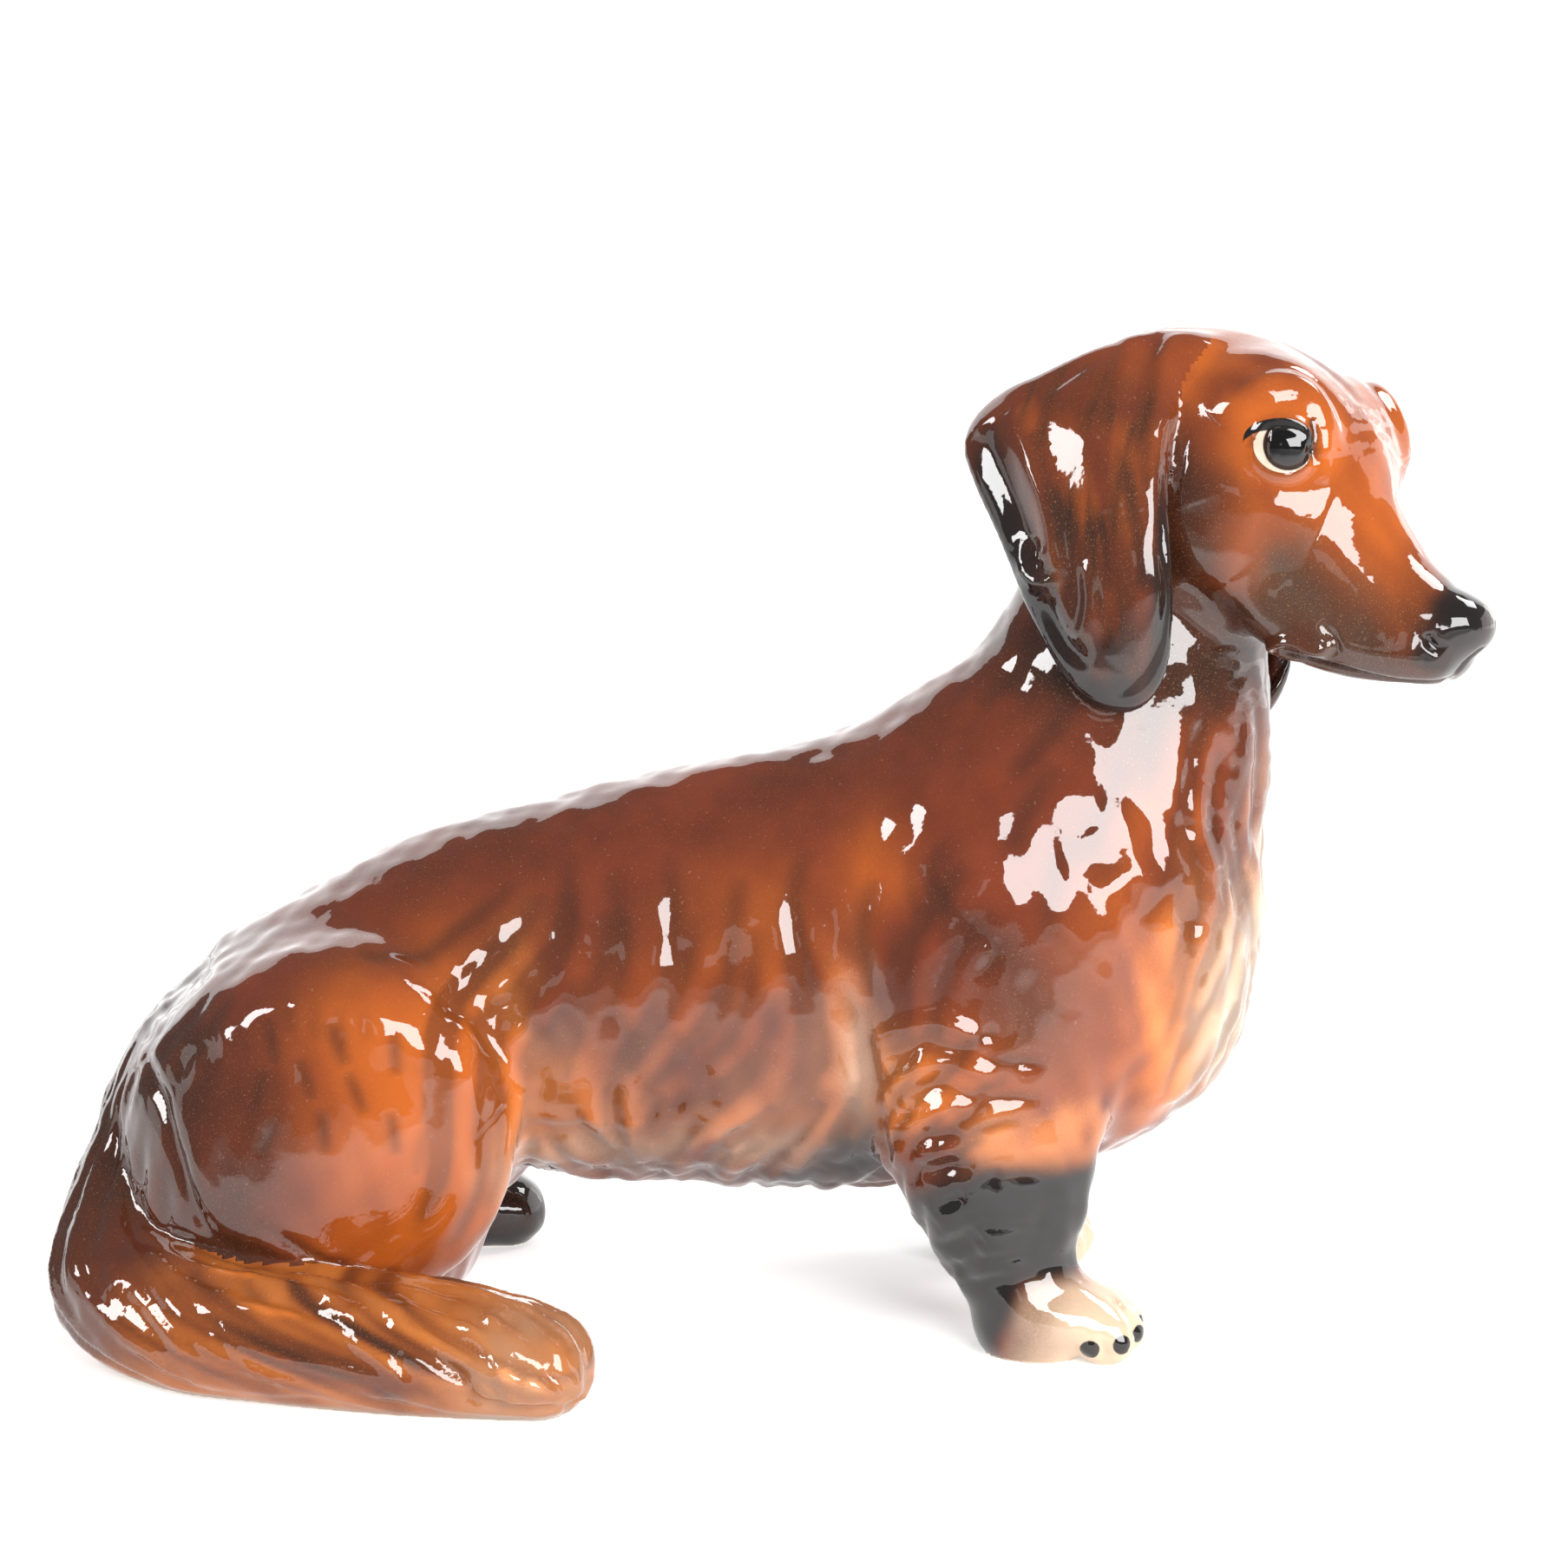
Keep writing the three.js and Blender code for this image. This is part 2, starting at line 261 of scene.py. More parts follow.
trunk = Limb([
    [-113, 0, 26, 18, 17], [-102, 0, 31, 28, 27], [-84, 0, 38, 33, 34], [-58, 0, 55.5, 31, 31.5],
    [-30, 0, 60, 29.5, 35.5], [2, 0, 62.5, 31.5, 40], [30, 0, 66, 33, 40.5], [50, 0, 69, 31, 38],
    [64, 0, 72, 26, 31]], ends=(0.35, 0.5))
seat = Ball([-84, 0, 16], [29, 38, 25])
neck = Limb([
    [42, 0, 62, 29, 36], [50, 0, 88, 29.5, 36.5], [59, 0, 109, 25, 28.5], [63, 0, 127, 21, 22.5],
    [66, 2, 146, 18, 19], [68, 3, 156, 16, 16]], up=(-1, 0, 0))
breast = Ball([59.5, 0, 71], [19.5, 22, 32])
shoulders = [Ball([38, s * 19, 72], [25, 17, 32], tilt=12) for s in (-1, 1)]
thighs = [[Ball([-74, s * 27.5, 41], [27.5, 17, 32]), Ball([-92, s * 21, 30], [23, 17, 33])]
          for s in (-1, 1)]


def foreleg(side):
    back = LEFT_LEG_SETBACK if side > 0 else 0
    leg = Limb([[x - back, side * y, z, w, d] for x, y, z, w, d in [
        (33, 19, 72, 11, 17), (34, 23.5, 56, 13.5, 20), (36, 26, 42, 13, 19.5),
        (38, 27, 29, 11.5, 16.5), (40, 27, 17, 10, 11.5), (43, 27, 8, 9.5, 9),
        (44, 27, 1, 9, 8)]], up=(1, 0, 0))
    paw = Limb([[x - back, side * y, z, w, d] for x, y, z, w, d in [
        (38, 27, 4.5, 8, 4.5), (42, 27, 6.5, 10.5, 7), (50, 27.3, 6.8, 11.6, 7),
        (56, 27.3, 5.4, 10.6, 5.8)]])
    toes = [Ball([58.5 - 0.035 * o**2 - back, side * 27.3 + o, 4.1], [5.4, 3.1, 4.4])
            for o in (-8.4, -2.9, 2.9, 8.4)]
    return leg, paw, toes


forelegs = [foreleg(-1), foreleg(1)]
tail = Limb([
    [-98, 0, 49, 9, 9], [-106, -4, 42, 11, 10], [-113.5, -12, 28, 12.5, 10.5],
    [-114.5, -28, 13, 14, 12.5], [-102, -41, 9.5, 15, 12], [-85, -47.5, 9, 15.5, 11.5],
    [-64, -52, 8.5, 15.5, 12], [-46, -56, 7.5, 14.5, 10], [-41, -57, 6.8, 13.6, 9]],
    ends=(1, 1))
hind_foot = Limb([
    [-76, 37, 7, 7, 8], [-66, 37, 8, 8.5, 9], [-57, 37.5, 7, 9, 8.5], [-53, 38, 6, 8.6, 7.5]])

skull = Limb([
    [-22, 0, -7, 14, 12], [-17, 0, -6, 18.5, 16], [-7, 0, -3, 22, 21.5], [8, 0, -0.9, 23, 23.7],
    [20, 0, -3, 20.2, 22], [32, 0, -8, 15.5, 16], [44, 0, -11, 12.5, 12.4],
    [55, 0, -11, 10.2, 8.8]], ends=(0.5, 0.75), head=True, spacing=2)
brows = [Ball([17, -12.3, 11.5], [11, 8, 8.5], tilt=20, head=True),
         Ball([20, 14.4, 11.5], [11, 8, 9], tilt=20, head=True)]
cheeks = [Ball([12, s * 15.5, -9], [15, 8, 9], tilt=15, head=True) for s in (-1, 1)]
lips = [Limb([[24, s * 11, -16, 6, 6], [34, s * 9.5, -18, 6.6, 6.6], [44, s * 8, -17.5, 6, 6],
              [52, s * 6, -15.5, 4.8, 4.8], [56.5, s * 4, -13.5, 4, 4]], head=True, spacing=2)
        for s in (-1, 1)]
eyeballs = [Ball([21.2, -14.2, 8.6], [6.4, 6.4, 6.4], head=True),
            Ball([22.4, 16, 8.2], [6.4, 6.4, 6.4], head=True)]
nose = Ball([58.8, 0, -7.4], [5.4, 7.6, 5.2], head=True)
ears = [Flap([
    [-0.5, 18.5], [1.3, 13], [4.6, 6], [11.2, -4.3], [17.1, -14.5], [20.6, -22.6], [22.4, -30],
    [22.6, -37], [20.5, -42], [15.5, -44.5], [10.3, -43.8], [5.6, -41.1], [0.2, -37.1],
    [-4.6, -33.5], [-10.3, -28.7], [-15.1, -25.1], [-23.4, -19.7], [-28, -16.2], [-30.2, -12.2],
    [-29.8, -7.6], [-27, -2.6], [-22.5, 2.5], [-17.3, 9], [-12, 14.2], [-7, 17.6]],
    side=s, drop=2.5 * (s > 0)) for s in (-1, 1)]


def castings(p):
    """Distance to each casting's own clay."""
    body = melt(trunk(p), seat(p), 10)
    body = melt(body, neck(p), 14)
    body = melt(body, breast(p), 10)
    for form in shoulders:
        body = melt(body, form(p), 9)
    fillet = 3.5 + 8 * smooth(-62, -88, p[:, 0])
    for main, rear in thighs:
        body = melt(body, melt(main(p), rear(p), 14), fillet)
    head = skull(p)
    for form in brows:
        head = melt(head, form(p), 8)
    for form in cheeks:
        head = melt(head, form(p), 7)
    for form in lips:
        head = melt(head, form(p), 4)
    for form in eyeballs:
        head = melt(head, form(p), 2.4)
    head = melt(head, nose(p), 2)
    legs = []
    for leg, paw, toes in forelegs:
        limb = melt(leg(p), paw(p), 4)
        for toe in toes:
            limb = melt(limb, toe(p), 1.2)
        legs.append(limb)
    return [body, head, ears[0](p), ears[1](p), *legs, tail(p), hind_foot(p)]


def clay(p):
    """The whole figurine, cut flat at the table."""
    part = castings(p)
    whole = melt(part[BODY], part[HEAD], 7)
    for leg in (LEG_R, LEG_L):
        whole = melt(whole, part[leg], 6)
    root = smooth(30, 44, p[:, 2])
    whole = melt(whole, part[TAIL], 1.5 + 5 * root)
    height = to_head(p)[:, 2]
    for ear in (EAR_R, EAR_L):
        whole = melt(whole, part[ear], 0.8 + 3 * smooth(6, 18, height))
    whole = melt(whole, part[FOOT], 2)
    return np.maximum(whole, -p[:, 2])


# ---- Surface ------------------------------------------------------------------------------------

CORNERS = list(itertools.product((0, 1), repeat=3))
QUAD_SIDES = ((0, 1), (1, 2), (2, 3), (3, 0))


def window(corner, shape):
    """The part of a grid that starts at the corner and has the shape."""
    return tuple(slice(c, c + n) for c, n in zip(corner, shape))


def finer(field, lo, values, step):
    """The sampled field at half the step, measured anew only near the surface."""
    near = np.abs(values) < step
    cells = np.zeros([n - 1 for n in values.shape], bool)
    for corner in CORNERS:
        cells |= near[window(corner, cells.shape)]
    shape = [2 * n - 1 for n in values.shape]
    fine = values
    for axis in range(3):
        fine = np.repeat(fine, 2, axis)
    fine = fine[:shape[0], :shape[1], :shape[2]].copy()
    for axis in range(3):
        cells = np.repeat(cells, 2, axis)
    todo = np.zeros(shape, bool)
    for corner in CORNERS:
        todo[window(corner, cells.shape)] |= cells
    where = np.argwhere(todo)
    fine[todo] = measure(field, lo + where * (step / 2))
    return fine


def measure(field, points, chunk=60000):
    return np.concatenate([field(points[i:i + chunk]) for i in range(0, len(points), chunk)])


def skin(field, lo, hi, step):
    """Quads of the field's zero surface, one vertex in each sampled cell that it crosses."""
    lo = np.asarray(lo, float)
    coarse = step * 4
    count = np.ceil((np.asarray(hi) - lo) / coarse).astype(int) + 1
    points = lo + np.stack(np.meshgrid(*[np.arange(n) for n in count], indexing="ij"), -1).reshape(
        -1, 3) * coarse
    values = measure(field, points).reshape(count)
    values = finer(field, lo, values, coarse)
    values = finer(field, lo, values, coarse / 2)
    inside = values < 0
    total = np.zeros([n - 1 for n in values.shape], np.uint8)
    for corner in CORNERS:
        total += inside[window(corner, total.shape)]
    active = np.argwhere((total > 0) & (total < 8))
    ids = np.full(total.shape, -1, np.int64)
    ids[tuple(active.T)] = np.arange(len(active))
    place, hits = np.zeros((len(active), 3)), np.zeros(len(active))
    for axis in range(3):
        along = np.eye(3, dtype=int)[axis]
        first, second = [np.eye(3, dtype=int)[k] for k in range(3) if k != axis]
        for a in (0, 1):
            for b in (0, 1):
                start = active + a * first + b * second
                va, vb = values[tuple(start.T)], values[tuple((start + along).T)]
                crossed = (va < 0) != (vb < 0)
                t = np.where(crossed, va / np.where(crossed, va - vb, 1), 0)
                place += np.where(crossed[:, None], start + t[:, None] * along, 0)
                hits += crossed
    vertices = lo + place / hits[:, None] * step
    quads = []
    for axis in range(3):
        s = np.moveaxis(inside, axis, 0)
        edge = np.argwhere(s[1:, 1:-1, 1:-1] != s[:-1, 1:-1, 1:-1]) + [0, 1, 1]
        outward = s[tuple(edge.T)]
        cell = np.moveaxis(ids, axis, 0)
        i, j, k = edge.T
        quad = np.stack([cell[i, j - 1, k - 1], cell[i, j, k - 1], cell[i, j, k],
                         cell[i, j - 1, k]], 1)
        flip = outward if axis == 1 else ~outward
        quad[flip] = quad[flip][:, ::-1]
        quads.append(quad)
    return vertices, np.concatenate(quads)


def face_normals(v, f):
    return np.cross(v[f[:, 2]] - v[f[:, 0]], v[f[:, 3]] - v[f[:, 1]])


def vertex_normals(v, f):
    n = face_normals(v, f)
    out = np.zeros_like(v)
    for corner in range(4):
        for axis in range(3):
            out[:, axis] += np.bincount(f[:, corner], n[:, axis], len(v))
    return unit(out)


def settle(field, v, n, limit):
    """Moves points along their normals onto the field's zero surface."""
    reach = 0.05
    f0 = measure(field, v)
    slope = np.clip((measure(field, v + reach * n) - f0) / reach, 0.4, 2.0)
    return v - n * np.clip(f0 / slope, -limit, limit)[:, None]


def relax(v, f, share):
    """Each point moves towards the mean of its neighbours."""
    total, count = np.zeros_like(v), np.zeros(len(v))
    for a, b in QUAD_SIDES:
        for p, q in ((f[:, a], f[:, b]), (f[:, b], f[:, a])):
            count += np.bincount(p, minlength=len(v))
            for axis in range(3):
                total[:, axis] += np.bincount(p, v[q, axis], len(v))
    return v + share * (total / np.maximum(count, 1)[:, None] - v)


CLAY_LO, CLAY_HI = [-138, -78, -2.3], [128, 54, 186]  # a box round the whole figurine
LEVEL = 0.05  # points lower than this stay on the table
base, quads = skin(clay, CLAY_LO, CLAY_HI, GRID)
for _ in range(2):
    normals = vertex_normals(base, quads)
    base = settle(clay, relax(base, quads, 0.5), normals, GRID)
normals = vertex_normals(base, quads)
base = settle(clay, base, normals, GRID)
for _ in range(SMOOTHINGS):
    level = base[:, 2] < LEVEL
    eased = relax(base, quads, 0.5)
    base = np.where(level[:, None], base, eased)
base[:, 2] = np.maximum(base[:, 2], 0)
normals = vertex_normals(base, quads)

part = np.stack(castings(base), 1)
owner = part.argmin(1)
above = (base - NECK_CUT) @ NECK_AXIS > 0
owner[(owner == BODY) & above] = HEAD
face_owner = np.median(np.sort(owner[quads], 1)[:, 1:3], axis=1).astype(int)


def joined(groups, count):
    """A label for each vertex: the lowest vertex number that it is joined to by these groups."""
    label = np.arange(count)
    while True:
        low = label[groups].min(1)
        new = label.copy()
        for corner in range(groups.shape[1]):
            np.minimum.at(new, groups[:, corner], low)
        new = new[new]
        if (new == label).all():
            return label
        label = new


for piece in range(8):
    mine = np.flatnonzero(face_owner == piece)
    label = joined(quads[mine], len(base))[quads[mine, 0]]
    names, sizes = np.unique(label, return_counts=True)
    stray = mine[label != names[sizes.argmax()]]
    if len(stray):
        rest = part[quads[stray]].mean(1)
        rest[:, piece] = FAR
        face_owner[stray] = np.where(rest[:, BODY] < rest[:, HEAD], BODY, HEAD)

# ---- Carved hair --------------------------------------------------------------------------------

RNG = np.random.default_rng(11)
MOST_TRIED = 6000
X, Y, Z = base.T


def clay_normal(p):
    reach = 0.3
    return unit(np.stack([clay(p + reach * e) - clay(p - reach * e) for e in np.eye(3)], 1))


def scatter(mask, spacing, most=400):
    """Vertices of the mask that are at least spacing apart."""
    pool = np.flatnonzero(mask)
    pool = pool[RNG.permutation(len(pool))][:MOST_TRIED]
    kept = np.zeros((0, 3))
    for i in pool:
        if not len(kept) or ((kept - base[i]) ** 2).sum(1).min() > spacing**2:
            kept = np.vstack([kept, base[i]])
            if len(kept) >= most:
                break
    return kept


def comb(seeds, flow, length, step=2.0):
    """Lines drawn over the surface from the seeds along the flow, half of each way."""
    if not len(seeds):
        return []
    runs = []
    half = max(int(length / 2 / step), 2)
    for sign in (-1, 1):
        p, run = seeds.copy(), []
        for _ in range(half):
            n = clay_normal(p)
            d = flow(p, n)
            d = unit(d - dot(d, n)[:, None] * n)
            p = p + sign * step * d
            p = p - clay(p)[:, None] * n
            p[:, 2] = np.maximum(p[:, 2], 0)
            run.append(p)
        runs.append(run)
    return list(np.stack(runs[0][::-1] + [seeds] + runs[1], 1))


def along(points, line):
    """Distance from the points to a polyline and the share of the way along it."""
    best, where = np.full(len(points), FAR), np.zeros(len(points))
    last = len(line) - 1
    for i in range(last):
        d = line[i + 1] - line[i]
        t = np.clip((points - line[i]) @ d / max(d @ d, 1e-9), 0, 1)
        gap = np.linalg.norm(points - line[i] - t[:, None] * d, axis=1)
        closer = gap < best
        best[closer], where[closer] = gap[closer], (i + t[closer]) / last
    return best, where


def carve(points, lines, width, height):
    """Heights left by a round tool drawn along the lines: a dent if height is below zero."""
    out = np.zeros(len(points))
    for line in lines:
        reach = 2.5 * width
        lo, hi = line.min(0) - reach, line.max(0) + reach
        near = np.flatnonzero(((points > lo) & (points < hi)).all(1))
        if not len(near):
            continue
        gap, t = along(points[near], line)
        taper = np.sqrt(np.clip(4 * t * (1 - t), 0, 1))
        out[near] += height * taper * np.exp(-((gap / width) ** 2))
    return out


def tooled(points, tools):
    """Heights left by the tools, each [line, width, height, shade], and how dark the glaze runs; in
    the fold at the eye's inner corner that darkness is painted shade.
    """
    total, dark = np.zeros(len(points)), np.zeros(len(points))
    for line, width, height, shade in tools:
        cut = carve(points, [line], width, height)
        total += cut
        if shade:
            dark = np.maximum(dark, shade * cut / height)
    return total, dark


def ripple(p, lengths, count, seed):
    """Smooth noise of about unit size, with a wavelength for each axis."""
    rng = np.random.default_rng(seed)
    out = np.zeros(len(p))
    for _ in range(count):
        k = 2 * np.pi * rng.normal(0, 1, 3) / np.asarray(lengths, float)
        out += np.sin(p @ k + rng.uniform(0, 2 * np.pi))
    return out * math.sqrt(2 / count)


def flank_flow(p, n):
    sway = 0.45 * np.sin(p[:, 2] / 9 + p[:, 0] / 17) + 0.25 * np.sin(p[:, 0] / 7)
    back = 1.2 * smooth(0.55, 0.95, n[:, 2])
    return np.stack([-0.25 + sway - back, 0.0 * sway, -1.0 + 0 * sway], 1)


def rump_flow(p, n):
    sway = 0.25 * np.sin(p[:, 2] / 8 + p[:, 1] / 6)
    return np.stack([-0.35 + 0 * sway, sway, -1 + 0 * sway], 1)


def chest_flow(p, n):
    sway = 0.4 * np.sin(p[:, 2] / 7 + p[:, 1] / 5) + 0.2 * np.sin(p[:, 1] / 3)
    return np.stack([-0.1 + 0 * sway, sway, -1 + 0 * sway], 1)


def neck_flow(p, n):
    sway = 0.3 * np.sin(p[:, 2] / 9 + p[:, 0] / 8)
    return np.stack([-0.35 + sway, 0 * sway, -1 + 0 * sway], 1)


def leg_flow(p, n):
    """Feathering that leaves the front of the leg, sweeps back and hangs down."""
    back = smooth(46, 22, p[:, 0])
    return np.stack([-1 + 0 * back, 0 * back, 0.35 - 1.6 * back], 1)


def tail_flow(p, n):
    i = (-2 * p @ tail.c.T + (tail.c**2).sum(1)).argmin(1)
    sway = 0.5 + 0.45 * np.sin(p[:, 0] / 5 + p[:, 1] / 6)
    return tail.t[i] + sway[:, None] * [0.0, -0.5, -0.8]


on = lambda piece: owner == piece
leg_share = on(LEG_R) | on(LEG_L)
HAIR = [
    # Where it grows, spacing, flow, length, width, height (below zero for a groove)
    (on(BODY) & (X > -60) & (X < 28) & (Z > 34) & (Z < 76), 8.5, flank_flow, 34, 2.0, -0.32),
    (on(BODY) & (X > -60) & (X < 28) & (Z > 30) & (Z < 80), 11.0, flank_flow, 38, 3.6, 0.38),
    (on(BODY) & (X < -101) & (Z > 4), 7.0, rump_flow, 28, 2.0, -0.14),
    (on(BODY) & (X < -99) & (Z > 4), 9.0, rump_flow, 32, 3.6, 0.2),
    (on(BODY) & (X < -60) & (X > -90) & (np.abs(Y) > 20) & (Z > 40) & (Z < 62), 8.0, flank_flow, 9,
     1.2, -0.16),
    (on(BODY) & (X > 68) & (Z > 34) & (Z < 108), 6.2, chest_flow, 20, 1.6, -0.4),
    (on(BODY) & (X > 66) & (Z > 34) & (Z < 106), 8.5, chest_flow, 24, 3.2, 0.6),
    (on(BODY) & (X > 40) & (X < 66) & (Z > 80), 12.0, neck_flow, 20, 2.4, -0.22),
    (on(BODY) & (X > -46) & (X < 20) & (Z < 42), 5.0, flank_flow, 15, 1.3, -0.5),
    (on(BODY) & (X > -46) & (X < 20) & (Z < 36), 6.5, flank_flow, 13, 2.4, 0.7),
    (leg_share & (Z > 12) & (X < 40), 5.5, leg_flow, 12, 1.2, -0.5),
    (leg_share & (Z > 16) & (X < 36), 7.0, leg_flow, 13, 2.2, 0.6),
    (on(TAIL), 4.6, tail_flow, 36, 1.2, -0.4),
    (on(TAIL), 7.5, tail_flow, 40, 2.4, 0.4),
]
hair, crease = np.zeros(len(base)), np.zeros(len(base))
for where, spacing, flow, length, width, height in HAIR:
    lines = comb(scatter(where, spacing), flow, length)
    cut = carve(base, lines, width, height)
    hair += cut
    if height < 0:
        crease += cut / height

